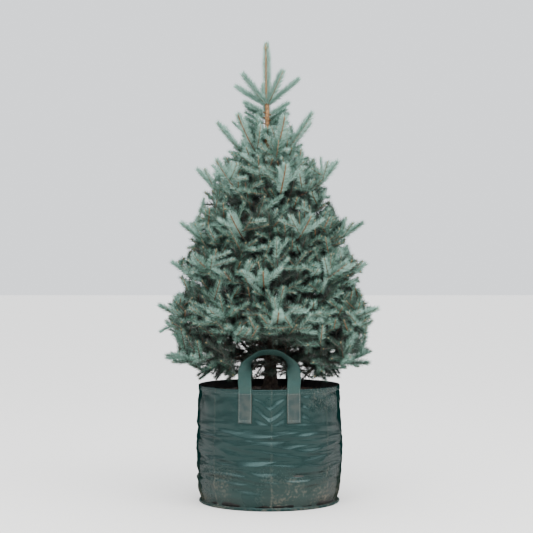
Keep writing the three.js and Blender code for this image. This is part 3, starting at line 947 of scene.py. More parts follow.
def tint_of(shoot, rng):
    """Which colour a spray's needles get: frosted outside and high up, green and deep inside and low. The
    darkening inside and low is painted shade, which stands in for the shade deep in the crown and at its
    foot.
    """
    height = shoot.path.tip[2]
    lower, foot = LOW_TINTS
    low = lower * (1 - smoothstep(0.5, 0.75, height)) + foot * (1 - smoothstep(0.42, 0.52, height))
    high = HIGH_TINTS * smoothstep(0.95, 1.25, height)
    # Painted shade: the deeper and lower a spray sits, the darker its tint.
    value = PLAIN_TINT + SHADE_TINTS * shoot.depth + float(low) - float(high) - YOUNG_TINTS * shoot.young
    value += rng.normal(0, MIXED_TINTS)
    darkest = len(TINTS) - (2 if height < LOW[1] else 1)
    return int(np.clip(round(value), 0, darkest))


def build_needles(name, shoots, look, materials, replaced):
    """One joined piece of needles, in plain colours dealt out by spray."""
    rng = np.random.default_rng(sum(map(ord, name)))
    corners = []
    tints = []
    for shoot in shoots:
        if shoot.bare:
            continue
        density = look.needles_per_metre * (1.1 - 0.5 * shoot.depth) * shoot.dense
        count = max(8, round(shoot.length * (1 - shoot.start) * density))
        corners.append(needle_corners(shoot, rng, look, count))
        darker = rng.choice(NEEDLE_TINTS, count, p=NEEDLE_TINT_ODDS)
        tints.append(np.clip(tint_of(shoot, rng) + darker, 0, len(TINTS) - 1))
    corners = np.concatenate(corners)
    firsts = np.arange(len(corners))[:, None, None] * 4
    faces = (firsts + NEEDLE_FACES).reshape(-1, 3)
    piece = mesh_object(name, corners.reshape(-1, 3), [faces])
    slots = np.repeat(np.concatenate(tints), len(NEEDLE_FACES)).astype(np.int32)
    finish_piece(piece, materials, replaced)
    piece.data.polygons.foreach_set("material_index", slots)
    return piece


def is_young(shoot):
    """Whether a shoot's bark is still orange brown."""
    return shoot.depth < OLD_DEPTH and not shoot.bare and shoot.path.tip[2] > OLD_HEIGHT


def needle_pieces(masses):
    """The joined pieces of needles: each one's name, its shoots and the nodes that it replaces."""
    pieces = []
    for tier in range(1, len(TIERS) + 1):
        shoots = [shoot for mass in masses if mass.tier == tier for shoot in mass.shoots]
        pieces.append((f"needles_tier{tier}", shoots, nodes_like(f"tier{tier}_needles")))
    for mass in masses:
        if mass.name == "inner_needles":
            for part, (low, high) in enumerate(zip(INNER_PARTS, INNER_PARTS[1:]), 1):
                shoots = [shoot for shoot in mass.shoots if low <= shoot.path.base[2] < high]
                pieces.append((f"fine_inner_needles{part}", shoots, []))
        elif not mass.tier:
            pieces.append((f"fine_{mass.name}", mass.shoots, nodes_like(mass.name)))
    return pieces


def build_twigs(name, shoots):
    """The stems of shoots."""
    bundle = Bundle()
    shares = np.linspace(0, 1, 4)
    for shoot in shoots:
        _, beside, above = shoot.path.frame(shares)
        radii = shoot.radius * np.interp(shares, (0, 1), (1.1, 0.75))
        radii = np.repeat(radii[:, None], TWIG_SIDES, axis=1)
        bundle.add(*tube(shoot.path.point(shares), beside, above, radii))
    return bundle.build(name, smooth=True)


def add_bud(bundle, place, direction, length, radius):
    """A pointed bud at a place."""
    along, radii = np.array(BUD_OUTLINE).T
    beside = unit(np.cross(direction, UP + np.array([0.02, 0.01, 0])))
    above = np.cross(beside, direction)
    rings = (len(along), 1)
    centres = place + direction * (along * length)[:, None]
    sides = np.repeat((radii * radius)[:, None], BUD_SIDES, axis=1)
    bundle.add(*tube(centres, np.tile(beside, rings), np.tile(above, rings), sides))


def add_shoot_buds(bundle, shoot, size):
    """A bud at a shoot's tip, with two more beside it on a leading shoot."""
    along, beside, _ = shoot.path.frame(1.0)
    add_bud(bundle, shoot.path.tip, along, 0.0068 * size, 0.0023 * size)
    for side in (-1, 1) if shoot.young else ():
        way = unit(along * 0.6 + beside * side * 0.8)
        add_bud(bundle, shoot.path.point(0.96), way, 0.007, 0.0024)


def build_buds(masses, rng):
    """A bud at the tip of each shoot, and the tree's own end bud with a ring of smaller ones."""
    bundle = Bundle()
    for mass in masses:
        for shoot in mass.shoots:
            if shoot.depth <= BUD_DEPTH and not shoot.bare:
                add_shoot_buds(bundle, shoot, rng.uniform(0.8, 1.15))
    tip = TRUNK.point(1.0)
    add_bud(bundle, tip - UP * 0.009, unit(UP + [0.02, 0.0, 0.0]), 0.020, 0.0058)
    for i in range(5):
        add_bud(bundle, tip - UP * 0.017, unit(heading(i * 72 + 15, 48)), 0.014, 0.0044)
    return bundle.build("buds", smooth=True)


def knotted_radii(heights):
    """The trunk's radii, a little thicker in the smooth young wood and at each whorl of boughs."""
    radii = trunk_radius(heights) + 0.0007 * smoothstep(1.05, 1.35, heights)
    for whorl in WHORLS:
        radii = radii + 0.12 * radii * np.exp(-(((heights - whorl) / 0.012) ** 2))
    return radii


def bark_relief(corners):
    """Scaly plates and grain on the trunk, which fade out towards its young top."""
    young = smoothstep(*YOUNG_BARK, corners[:, 2])
    plates = 1 - np.abs(rough(corners, (95, 95, 48), 3.0)) * 2
    grain = rough(corners, (210, 210, 130), 9.0)
    return (0.0011 * plates + 0.0005 * grain) * (1 - 0.78 * young)


def build_trunk():
    """The trunk with scaly bark, knots at the tiers and a smooth young top."""
    heights = np.linspace(TRUNK_FOOT, TRUNK_TIP, TRUNK_RINGS)
    centres = TRUNK.point(trunk_share(heights))
    beside = np.tile([1.0, 0, 0], (TRUNK_RINGS, 1))
    above = np.tile([0, -1.0, 0], (TRUNK_RINGS, 1))
    radii = np.repeat(knotted_radii(heights)[:, None], TRUNK_SIDES, axis=1)
    relief = bark_relief(tube(centres, beside, above, radii)[0][:-2])
    corners, walls, ends = tube(centres, beside, above, radii + relief.reshape(radii.shape))
    return mesh_object("trunk_bark", corners, [ends, walls], smooth=True)


def swollen_radii(mass, shares):
    """A bough's radii, thicker at the trunk and at the node where each year's shoot began."""
    radii = np.maximum(bough_radius(mass, shares), LAST_RADIUS)
    radii = radii * (1 + 0.35 * np.exp(-shares * mass.length / 0.03))
    for year in range(1, 4):
        node = 1 - year * YEAR / mass.length
        radii = radii + 0.0008 * np.exp(-(((shares - node) * mass.length / 0.006) ** 2))
    return radii


def build_boughs(masses):
    """The boughs from the trunk's middle to their tips, and which of their faces have young bark."""
    bundle = Bundle()
    ages = []
    shares = np.linspace(0, 1, BOUGH_RINGS)
    for mass in masses:
        if not mass.tier:
            continue
        path = mass.axes[0]
        _, beside, above = path.frame(shares)
        radii = np.repeat(swollen_radii(mass, shares)[:, None], BOUGH_SIDES, axis=1)
        corners = tube(path.point(shares), beside, above, radii)[0][:-2]
        thickness = bough_radius(mass, shares) / BOUGH_RADIUS
        relief = 0.0005 * rough(corners, 190, 5.0).reshape(radii.shape) * thickness[:, None]
        bundle.add(*tube(path.point(shares), beside, above, radii + relief))
        is_young_there = (1 - shares[1:]) * mass.length < LAST_SHOOT * (mass.tier < len(TIERS))
        ages.append(np.repeat(is_young_there, BOUGH_SIDES).astype(np.int32))
    piece = bundle.build("boughs", smooth=True)
    ends = len(piece.data.polygons) - sum(map(len, ages))
    return piece, np.concatenate([np.zeros(ends, np.int32), *ages])


# The planter bag.


def wall_radius(heights):
    """The bag's outer radius at a height, with the solid's corners rounded off."""
    radii, levels = np.array(WALL).T
    offsets = np.linspace(-ROUNDING, ROUNDING, 7)
    near = [np.interp(np.asarray(heights) + offset, levels, radii) for offset in offsets]
    return np.mean(near, axis=0) * (1 + FACET_MIDDLE) / 2


def arc_from(bearings, middle):
    """The way round the wall from a bearing, in metres."""
    return np.radians((bearings - middle + 180) % 360 - 180) * CLOTH_RADIUS


def strap_cover(bearings, heights):
    """1 where a sewn strap lies on the wall, and 0 away from it."""
    cover = np.zeros(np.broadcast(bearings, heights).shape)
    foot = BAG_RIM + STRAP_RISES[0]
    for middle in (0, 180):
        for side in (-1, 1):
            away = np.abs((bearings - middle - side * STRAP_BEARING + 180) % 360 - 180)
            cover = np.maximum(cover, 1 - smoothstep(6.0, 9.0, away))
    return cover * smoothstep(foot - 0.02, foot + 0.004, heights)


def drapes(bearings, heights, points):
    """Folds with sharp crests that run down to the middle between the straps, and away outside them."""
    folds = np.zeros(bearings.shape)
    strap = math.radians(STRAP_BEARING) * CLOTH_RADIUS
    for middle in (0, 180):
        arc = np.abs(arc_from(bearings, middle))
        run = np.where(arc < strap, arc, strap - (arc - strap) * 0.75)
        phase = (heights - 0.62 * run) / 0.037
        phase = phase + 0.5 * rough(points, (8, 8, 8), 70.0 + middle)
        near = np.exp(-((np.maximum(0, arc - strap) / 0.075) ** 2))
        crests = 1 - 2 * np.sqrt(np.sin(math.pi * phase) ** 2 + 0.03)
        folds += crests * near * smoothstep(0.275, 0.31, heights)
    return folds * (1 - smoothstep(0.365, 0.383, heights))


def buckles(points, heights, bag):
    """Level buckles in the wall's middle, deeper in some places."""
    bent = points + np.array([0, 0, 0.012]) * rough(points, (7, 7, 5), 2.0)[:, None]
    narrow = 1 - 2.2 * np.abs(rough(bent, (10, 10, 62), 4.0))
    wide = 1 - 2.2 * np.abs(rough(bent, (6, 6, 31), 8.0))
    middle = smoothstep(0.035, 0.08, heights) * (1 - smoothstep(0.24, 0.31, heights))
    patchy = 0.55 + 0.45 * smoothstep(-0.25, 0.3, rough(points, (5, 5, 9), 12.0))
    return bag.buckle_depth * middle * patchy * (0.4 * narrow + wide - 0.7)


def belt(points, heights):
    """The one long buckle all round, a ridge above a hollow."""
    across = (heights - BELT - 0.010 * rough(points, (6, 6, 2), 33.0)) / BELT_WIDTH
    return 0.0032 * across * np.exp(-(across**2)) * (0.8 + rough(points, (7, 7, 3), 34.0))


def dents(points, heights):
    """Shallow dents all over, small ones below the hem, and gathers above the welt."""
    wide = 0.0028 * rough(points, (6, 6, 5), 15.0) + 0.0032 * rough(points, (13, 13, 17), 16.0)
    below_hem = smoothstep(0.29, 0.33, heights) * (1 - smoothstep(0.372, 0.383, heights))
    small = 0.0050 * below_hem * rough(points, (24, 24, 24), 72.0)
    gathers = 1 - smoothstep(0.02, 0.06, heights)
    return wide + small + 0.0016 * gathers * rough(points, (44, 44, 12), 21.0)


def upright_creases(bearings, points):
    """1 on the cloth's upright creases, and 0 away from them."""
    creased = np.zeros(len(bearings))
    wander = 0.002 * rough(points, (3, 3, 9), 30.0)
    for crease in CREASES:
        away = (arc_from(bearings, crease) + wander) / CREASE_WIDTH
        creased = np.maximum(creased, np.exp(-(away**2)))
    return creased


def cloth_relief(bearings, heights, bag):
    """How far the cloth stands out of its plain wall, and how much it is creased, at each corner."""
    around = np.radians(bearings)
    points = np.stack([CLOTH_RADIUS * np.sin(around), -CLOTH_RADIUS * np.cos(around), heights], axis=-1)
    creased = upright_creases(bearings, points)
    uneven = 0.4 + 1.2 * rough(points, (12, 12, 14), 18.0)
    relief = buckles(points, heights, bag) + belt(points, heights) + dents(points, heights)
    relief += bag.drape_depth * drapes(bearings, heights, points) * uneven
    relief += bag.crease_depth * creased - TUCK * (1 - smoothstep(*TUCK_HEIGHTS, heights))
    puckers = np.exp(-(((heights - HEM_FOOT) / 0.011) ** 2))
    relief += 0.0011 * puckers * rough(points, (70, 70, 25), 26.0)
    hem = smoothstep(HEM_FOOT - 0.001, HEM_FOOT + 0.001, heights)
    cover = strap_cover(bearings, heights)
    relief = relief * (1 - 0.6 * hem) * (1 - 0.85 * cover) - 0.0012 * cover * (1 - hem)
    return relief + HEM_PROUD * hem, creased


def underside_rows():
    """Radii and heights of the cloth's underside, from the middle out to the welt."""
    return [(0.02, UNDERSIDE), (WELT_RADIUS - 0.003, UNDERSIDE), (WELT_RADIUS - 0.001, 0.0045)]


def lining_rows(wall, radii):
    """Radii and heights of the lining, from the rim down the inside and over the floor to the middle."""
    rows = [(radii[-1] - CLOTH_THICKNESS * 0.5, BAG_RIM)]
    for height in LINING_HEIGHTS:
        close = smoothstep(0.36, 0.372, height)
        row = radii[np.abs(wall - height).argmin()] * close + (wall_radius(height) - 0.004) * (1 - close)
        rows.append((row - CLOTH_THICKNESS, height))
    return [*rows, (0.231, LINING_FLOOR), (0.02, LINING_FLOOR)]


def build_bag(bag):
    """The bag's cloth as one closed shell, from its underside to the lining's floor, and its faces' slots."""
    bearings = np.arange(WALL_COLUMNS) / WALL_COLUMNS * 360
    around = np.radians(bearings)
    out = np.stack([np.sin(around), -np.cos(around), np.zeros(WALL_COLUMNS)], axis=-1)
    wall = np.linspace(WALL[0][1], BAG_RIM - RIM_ROUNDING, WALL_ROWS)
    heights = np.repeat(wall, WALL_COLUMNS)
    relief, creased = cloth_relief(np.tile(bearings, WALL_ROWS), heights, bag)
    radii = (wall_radius(heights) + relief).reshape(WALL_ROWS, WALL_COLUMNS)
    under = underside_rows()
    rows = [*under, *zip(radii, wall), *lining_rows(wall, radii)]
    sag = 0.0012 * rough(out * (1, -1, 1), 4)
    corners = []
    for radius, height in rows:
        levels = height + sag * smoothstep(0.36, 0.40, height)
        corners.append(out * np.broadcast_to(radius, WALL_COLUMNS)[:, None] + UP * levels[:, None])
    corners = np.vstack([*corners, [UP * UNDERSIDE], [UP * LINING_FLOOR]])
    ends = end_faces(len(rows), WALL_COLUMNS)
    walls = grid_faces(len(rows), WALL_COLUMNS)
    piece = mesh_object("bag_cloth", corners, [ends, walls], smooth=True)
    first = len(under) * WALL_COLUMNS
    beyond = first + len(creased)
    wear = np.zeros(len(corners))
    wear[first:beyond] = creased
    mark(piece, "crease", wear)
    is_lining = np.concatenate([np.zeros(len(ends), bool), walls[:, 0] >= beyond])
    return piece, is_lining.astype(np.int32)


def build_welt():
    """The piping sewn round the foot of the bag."""
    around = np.arange(WELT_STEPS) / WELT_STEPS * TURN
    out = np.stack([np.sin(around), -np.cos(around), np.zeros(WELT_STEPS)], axis=-1)
    ring = np.arange(WELT_SIDES) / WELT_SIDES * TURN
    wander = 0.0006 * rough(out, 14.0, 40.0)
    centre = out * (WELT_RADIUS + wander)[:, None] + UP * WELT_HEIGHT
    across = out[:, None] * (np.cos(ring) * 0.0030)[:, None] + UP * (np.sin(ring) * 0.0036)[:, None]
    corners = (centre[:, None] + across).reshape(-1, 3)
    walls = grid_faces(WELT_STEPS, WELT_SIDES)
    last = (WELT_STEPS - 1) * WELT_SIDES
    side = np.arange(WELT_SIDES)
    beyond = (side + 1) % WELT_SIDES
    closing = np.stack([last + side, last + beyond, beyond, side], axis=-1)
    return mesh_object("bag_welt", corners, [np.vstack([walls, closing])[:, ::-1]], smooth=True)


# The handles.


def curve_through(points, shares):
    """Places on a centripetal curve through the points, at shares of the way counted in points."""
    points = np.asarray(points, float)
    padded = np.vstack([2 * points[0] - points[1], points, 2 * points[-1] - points[-2]])
    place = np.asarray(shares) * (len(points) - 1)
    which = np.minimum(place.astype(int), len(points) - 2)
    t = (place - which)[:, None]
    p0, p1, p2, p3 = (padded[which + i] for i in range(4))
    d0, d1, d2 = (np.sqrt(np.linalg.norm(b - a, axis=1))[:, None] for a, b in ((p0, p1), (p1, p2), (p2, p3)))
    m1 = ((p1 - p0) / d0 - (p2 - p0) / (d0 + d1) + (p2 - p1) / d1) * d1
    m2 = ((p2 - p1) / d1 - (p3 - p1) / (d1 + d2) + (p3 - p2) / d2) * d1
    return p1 + m1 * t + (3 * (p2 - p1) - 2 * m1 - m2) * t**2 + (2 * (p1 - p2) + m1 + m2) * t**3


def strap_points():
    """The points that the strap's middle goes through, from one sewn end to the other."""
    angle = math.radians(STRAP_BEARING)
    rim = RIM_RADIUS + HEM_PROUD
    half = []
    for rise in STRAP_RISES:
        height = BAG_RIM + rise
        wall = max(rim, float(np.interp(height, *np.array(WALL).T[::-1])))
        radius = wall * FACET_MIDDLE + STRAP_PROUD + STRAP_THICKNESS / 2
        half.append((-radius * math.sin(angle), -radius * math.cos(angle), height))
    foot = half[-1]
    for across, up in (*LOOP_OUTLINE, (0, 1)):
        height = BAG_RIM + LOOP_HEIGHT * up
        half.append((foot[0] * across, foot[1] + (height - foot[2]) * math.tan(LOOP_LEAN), height))
    return np.array(half + [(-x, y, z) for x, y, z in half[-2::-1]])


@dataclass
class StrapLine:
    """The strap's middle line with the directions along, across and out of it, and the way gone along it."""

    places: np.ndarray
    along: np.ndarray
    across: np.ndarray
    outward: np.ndarray
    gone: np.ndarray


def strap_line():
    """The strap's middle line. It lies flat on the wall and turns level at the loop's crown."""
    fine = curve_through(strap_points(), np.linspace(0, 1, STRAP_SAMPLES))
    gone = np.concatenate([[0], np.cumsum(np.linalg.norm(np.diff(fine, axis=0), axis=1))])
    even = np.linspace(0, gone[-1], STRAP_STEPS)
    places = np.stack([np.interp(even, gone, fine[:, axis]) for axis in range(3)], axis=-1)
    along = unit(np.gradient(places, axis=0))
    angle = math.radians(STRAP_BEARING)
    hand = np.where(np.arange(STRAP_STEPS) < STRAP_STEPS / 2, -1.0, 1.0)
    forward = np.full(STRAP_STEPS, math.sin(angle))
    flat = np.stack([hand * math.cos(angle), forward, np.zeros(STRAP_STEPS)], axis=-1)
    level = np.array([0, -math.cos(LOOP_LEAN), math.sin(LOOP_LEAN)])
    turned = smoothstep(*LOOP_TURN, (places[:, 2] - BAG_RIM) / LOOP_HEIGHT)[:, None]
    across = flat * (1 - turned) + level * turned
    across = unit(across - (across * along).sum(-1)[:, None] * along)
    return StrapLine(places, along, across, np.cross(along, across), even)


def hug(offset):
    """How far a strap on the round wall curves back at an offset from its middle."""
    return -(offset**2) / (2 * CLOTH_RADIUS)


def turn_to(facing):
    """The matrix that turns rows of places round the upright axis."""
    cosine = math.cos(facing)
    sine = math.sin(facing)
    return np.array([[cosine, sine, 0], [-sine, cosine, 0], [0, 0, 1]])


def webbing_section():
    """The outline across the webbing, with rounded edges."""
    half = STRAP_WIDTH / 2
    thick = STRAP_THICKNESS / 2
    flat = np.linspace(-half + 0.0012, half - 0.0012, 13)
    edge = [(half - 0.0003, thick * 0.6), (half, 0), (half - 0.0003, -thick * 0.6)]
    front = [(x, thick) for x in flat]
    back = [(x, -thick) for x in flat[::-1]]
    return [*front, *edge, *back, *((-x, -y) for x, y in edge)]


def build_handle(name, facing):
    """One webbing strap, which hugs the round wall at its sewn ends and has slightly wavy edges."""
    line = strap_line()
    section = webbing_section()
    sewn = 1 - smoothstep(BAG_RIM - 0.01, BAG_RIM + 0.02, line.places[:, 2])
    waves = 0.00035 * rough(line.places, 60, 50.0)
    corners = []
    for x, y in section:
        out = y + hug(x) * sewn + waves * abs(x) / (STRAP_WIDTH / 2)
        corners.append(line.places + line.across * x + out[:, None] * line.outward)
    corners = np.stack(corners, axis=1).reshape(-1, 3)
    count = len(section)
    walls = grid_faces(STRAP_STEPS, count)[:, ::-1]
    ring = np.arange(count)
    caps = np.array([ring, ((STRAP_STEPS - 1) * count + ring)[::-1]])
    piece = mesh_object(name, corners @ turn_to(facing), [walls, caps], smooth=True)
    mark(piece, "across", np.tile([x for x, _ in section], STRAP_STEPS))
    mark(piece, "gone", np.repeat(line.gone, count))
    return piece


def add_lozenge(bundle, middle, along, out, length, width):
    """A low lozenge: a stitch of thread or a chip of bark."""
    side = np.cross(along, out)
    corners = np.array([
        middle - along * length / 2 - out * width * 0.3,
        middle + side * width / 2,
        middle + along * length / 2 - out * width * 0.3,
        middle - side * width / 2,
        middle + out * width * 0.7,
        middle - out * width * 0.7,
    ])
    top = [[0, 3, 4], [3, 2, 4], [2, 1, 4], [1, 0, 4]]
    bottom = [[3, 0, 5], [2, 3, 5], [1, 2, 5], [0, 1, 5]]
    bundle.add(corners, np.array(top + bottom))


def seam_places():
    """A sewn end's stitches: how far from its middle and from its foot, and whether they lie crosswise."""
    sewn = -STRAP_RISES[0]
    half = STRAP_WIDTH / 2
    places = []
    for offset in (-half + SEAM_INSET, half - SEAM_INSET):
        places += [(offset, gone, False) for gone in np.arange(0.006, sewn, STITCH_STEP)]
    for gone in (0.005, 0.009, sewn - 0.016):
        places += [(offset, gone, True) for offset in np.arange(-half + 0.005, half - 0.004, STITCH_STEP)]
    return places


def build_handle_stitching():
    """The seams that hold the straps: a row up each edge, two rows across the foot and one at the hem."""
    bundle = Bundle()
    line = strap_line()
    step = line.gone[1]
    for facing in (0, math.pi):
        turn = turn_to(facing)
        for offset, distance, crosswise in seam_places():
            for gone in (distance, line.gone[-1] - distance):
                i = min(STRAP_STEPS - 1, round(gone / step))
                out = line.outward[i]
                middle = line.places[i] + line.across[i] * offset + out * (STRAP_THICKNESS / 2 + hug(offset))
                way = line.across[i] if crosswise else line.along[i]
                add_lozenge(bundle, middle @ turn, way @ turn, out @ turn, *STITCH_SIZE)
    return bundle.build("handle_stitching")


def build_hem_stitching(bag):
    """Two rows of stitches round the foot of the hem."""
    bundle = Bundle()
    bearings = np.arange(HEM_STITCHES) / HEM_STITCHES * 360 + 0.3
    for height in HEM_SEAMS:
        heights = np.full(HEM_STITCHES, height)
        radii = wall_radius(heights) + cloth_relief(bearings, heights, bag)[0]
        for bearing, radius in zip(np.radians(bearings), radii):
            out = np.array([math.sin(bearing), -math.cos(bearing), 0])
            add_lozenge(bundle, out * radius + UP * height, np.cross(UP, out), out, 0.0038, 0.0009)
    return bundle.build("hem_stitching")


# The potting mix.


def soil_row(share, radius, around):
    """One ring of the potting mix's crumbly top, at a share of its radius."""
    flat = np.stack([share * radius * np.sin(around), -share * radius * np.cos(around), 0 * around], axis=-1)
    relief = 0.0045 * rough(flat, 14, 60.0) + 0.0022 * rough(flat, 60, 61.0) + 0.001 * rough(flat, 170, 62.0)
    bank = 0.006 * math.exp(-((share * radius / 0.06) ** 2))
    return flat + UP * (SOIL_TOP - 0.004 + relief + bank)[:, None]


def build_soil():
    """The potting mix: an uneven crumbly top, banked up a little to the trunk, over a closed plug."""
    radius = float(wall_radius(SOIL_TOP)) - CLOTH_THICKNESS - 0.0035
    around = np.arange(SOIL_COLUMNS) / SOIL_COLUMNS * TURN
    rows = [soil_row(share, radius, around) for share in np.linspace(0.004, 1, SOIL_ROWS)]
    skirt = rows[-1].copy()
    skirt[:, 2] = SOIL_FOOT
    rows.append(skirt)
    corners = np.vstack([*rows, [UP * SOIL_TOP], [UP * SOIL_FOOT]])
    ends = end_faces(len(rows), SOIL_COLUMNS)[:, ::-1]
    walls = grid_faces(len(rows), SOIL_COLUMNS)[:, ::-1]
    return mesh_object("potting_mix", corners, [ends, walls], smooth=True)


def build_chips(rng):
    """Chips of bark in the potting mix."""
    bundle = Bundle()
    for _ in range(CHIPS):
        radius = CHIP_REACH * math.sqrt(rng.uniform(0.03, 1))
        bearing = rng.uniform(0, TURN)
        size = rng.uniform(*CHIP_SIZES)
        middle = np.array([radius * math.sin(bearing), -radius * math.cos(bearing), SOIL_TOP - 0.0015])
        along = unit(np.array([*rng.normal(0, 1, 2), rng.normal(0, 0.25)]))
        out = unit(UP + rng.normal(0, 0.3, 3))
        out = unit(out - out.dot(along) * along)
        add_lozenge(bundle, middle, along, out, size, size * rng.uniform(0.3, 0.6))
    return bundle.build("bark_chips")


# Materials.


def add_node(tree, kind, inputs=None, **settings):
    """A new node with its settings, and its inputs set to values or linked from other nodes' outputs."""
    made = tree.nodes.new(kind)
    for name, value in settings.items():
        setattr(made, name, value)
    for name, value in (inputs or {}).items():
        if isinstance(value, bpy.types.NodeSocket):
            tree.links.new(value, made.inputs[name])
        else:
            made.inputs[name].default_value = value
    return made


def calculate(tree, operation, *values):
    """The output of a Math node."""
    return add_node(tree, "ShaderNodeMath", dict(enumerate(values)), operation=operation).outputs[0]


def multiply(tree, first, *others):
    """The output of Math nodes that multiply values."""
    for other in others:
        first = calculate(tree, "MULTIPLY", first, other)
    return first


def one_less(tree, value):
    """The output of a node that takes a value from 1."""
    return calculate(tree, "SUBTRACT", 1.0, value)


def blend_colours(tree, share, first, second, blend_type="MIX"):
    """The output of a node that mixes two colours."""
    inputs = {0: share, 6: first, 7: second}
    return add_node(tree, "ShaderNodeMix", inputs, data_type="RGBA", blend_type=blend_type).outputs[2]


def ramp_between(tree, value, low, high):
    """Rises smoothly from 0 at low to 1 at high."""
    inputs = {"Value": value, "From Min": low, "From Max": high}
    return add_node(tree, "ShaderNodeMapRange", inputs, interpolation_type="SMOOTHSTEP").outputs[0]


def rgba(colour):
    """A colour with full opacity."""
    return (*colour[:3], 1.0)


def new_group(name, inputs, outputs):
    """An empty shader node group, its inputs and its outputs. A float input is named with its default."""
    group = bpy.data.node_groups.new(name, "ShaderNodeTree")
    for label, default in inputs.items():
        if default == "vector":
            group.interface.new_socket(label, in_out="INPUT", socket_type="NodeSocketVector")
            continue
        socket = group.interface.new_socket(label, in_out="INPUT", socket_type="NodeSocketFloat")
        socket.default_value = default
    for label in outputs:
        group.interface.new_socket(label, in_out="OUTPUT", socket_type="NodeSocketFloat")
    return group, group.nodes.new("NodeGroupInput").outputs, group.nodes.new("NodeGroupOutput").inputs


@cache
def patches_group():
    """Soft patches, as dust and dirt lie."""
    group, given, result = new_group(
        "Patches", {"Place": "vector", "Size": 20.0, "Amount": 0.5, "Softness": 0.1}, ["Mask"]
    )
    inputs = {"Vector": given["Place"], "Scale": given["Size"], "Detail": 5.0}
    cloud = add_node(group, "ShaderNodeTexNoise", inputs)
    edge = one_less(group, given["Amount"])
    low = calculate(group, "SUBTRACT", edge, given["Softness"])
    high = calculate(group, "ADD", edge, given["Softness"])
    group.links.new(ramp_between(group, cloud.outputs["Fac"], low, high), result["Mask"])
    return group


@cache
def weave_group():
    """A plain weave of threads or flat tapes."""
    group, given, result = new_group("Weave", {"Across": 0.0, "Along": 0.0, "Pitch": 0.002}, ["Height"])
    u = calculate(group, "DIVIDE", given["Across"], given["Pitch"])
    v = calculate(group, "DIVIDE", given["Along"], given["Pitch"])
    over = calculate(group, "ABSOLUTE", calculate(group, "SINE", multiply(group, u, math.pi)))
    under = calculate(group, "ABSOLUTE", calculate(group, "SINE", multiply(group, v, math.pi)))
    cells = calculate(group, "ADD", calculate(group, "FLOOR", u), calculate(group, "FLOOR", v))
    parity = calculate(group, "ABSOLUTE", calculate(group, "MODULO", cells, 2.0))
    first = multiply(group, over, one_less(group, parity))
    second = multiply(group, under, parity)
    group.links.new(calculate(group, "ADD", first, second), result["Height"])
    return group


@cache
def bark_group():
    """Scaly bark: cracks between plates, and fine grain on them."""
    group, given, result = new_group("Bark", {"Place": "vector", "Size": 60.0}, ["Height", "Crack"])
    inputs = {"Vector": given["Place"], "Scale": given["Size"]}
    plates = add_node(group, "ShaderNodeTexVoronoi", inputs, feature="DISTANCE_TO_EDGE")
    crack = one_less(group, ramp_between(group, plates.outputs["Distance"], 0.02, 0.16))
    inputs = {"Vector": given["Place"], "Scale": multiply(group, given["Size"], 4.0), "Detail": 3.0}
    grain = add_node(group, "ShaderNodeTexNoise", inputs)
    group.links.new(calculate(group, "SUBTRACT", grain.outputs["Fac"], crack), result["Height"])
    group.links.new(crack, result["Crack"])
    return group


def new_material(name, roughness):
    """An empty material with a Principled shader. Returns the material, its tree and its shader's inputs."""
    material = bpy.data.materials.new(name)
    material.use_nodes = True
    tree = material.node_tree
    shader = tree.nodes["Principled BSDF"].inputs
    shader["Roughness"].default_value = roughness
    return material, tree, shader


def place_of(tree):
    """The object's own coordinates."""
    return add_node(tree, "ShaderNodeTexCoord").outputs["Object"]


def height_of(tree):
    """The height above the ground."""
    return add_node(tree, "ShaderNodeSeparateXYZ", {"Vector": place_of(tree)}).outputs["Z"]


def fine_noise(tree, size):
    """Fine noise all over."""
    return add_node(tree, "ShaderNodeTexNoise", {"Vector": place_of(tree), "Scale": size}).outputs["Fac"]


def kept_number(tree, name):
    """The number of this name that was kept with the mesh."""
    return add_node(tree, "ShaderNodeAttribute", attribute_name=name).outputs["Fac"]


def use_group(tree, group, **inputs):
    """A group placed in a material with its own values."""
    placed = tree.nodes.new("ShaderNodeGroup")
    placed.node_tree = group
    for name, value in inputs.items():
        socket = placed.inputs[name.capitalize()]
        if isinstance(value, bpy.types.NodeSocket):
            tree.links.new(value, socket)
        else:
            socket.default_value = value
    return placed.outputs


def patches(tree, size, amount, softness):
    """A mask of soft patches."""
    inputs = {"place": place_of(tree), "size": size, "amount": amount, "softness": softness}
    return use_group(tree, patches_group(), **inputs)["Mask"]


def bump(tree, shader, height, distance, strength=1.0):
    """Raises the surface's light and shade by a height."""
    inputs = {"Height": height, "Distance": distance, "Strength": strength}
    tree.links.new(add_node(tree, "ShaderNodeBump", inputs).outputs[0], shader["Normal"])


def needle_material(name, colour):
    """Needles of one plain colour with a waxy bloom that wears off in places."""
    material, tree, shader = new_material(name, 0.55)
    bloom = patches(tree, 160.0, 0.5, 0.2)
    worn = rgba(np.array(colour) * 0.82)
    tree.links.new(blend_colours(tree, bloom, worn, rgba(colour)), shader["Base Color"])
    tree.links.new(ramp_between(tree, bloom, -1.2, 2.2), shader["Roughness"])
    shader["Sheen Weight"].default_value = 0.15
    return material


def bark_material(name, low, high, heights, size, depth):
    """Bark that turns from its colour low on the tree to the one of young wood high up."""
    material, tree, shader = new_material(name, 0.85)
    bark = use_group(tree, bark_group(), place=place_of(tree), size=size)
    colour = blend_colours(tree, ramp_between(tree, height_of(tree), *heights), rgba(low), rgba(high))
    # The cracks between the plates are darker: partly the bark's own colour there and partly painted shade in
    # the hollows.
    colour = blend_colours(tree, multiply(tree, bark["Crack"], 0.55), colour, (0.012, 0.009, 0.007, 1))
    spots = multiply(tree, patches(tree, 45.0, 0.45, 0.12), 0.22)
    tree.links.new(blend_colours(tree, spots, colour, (0.26, 0.20, 0.14, 1)), shader["Base Color"])
    bump(tree, shader, bark["Height"], depth)
    return material


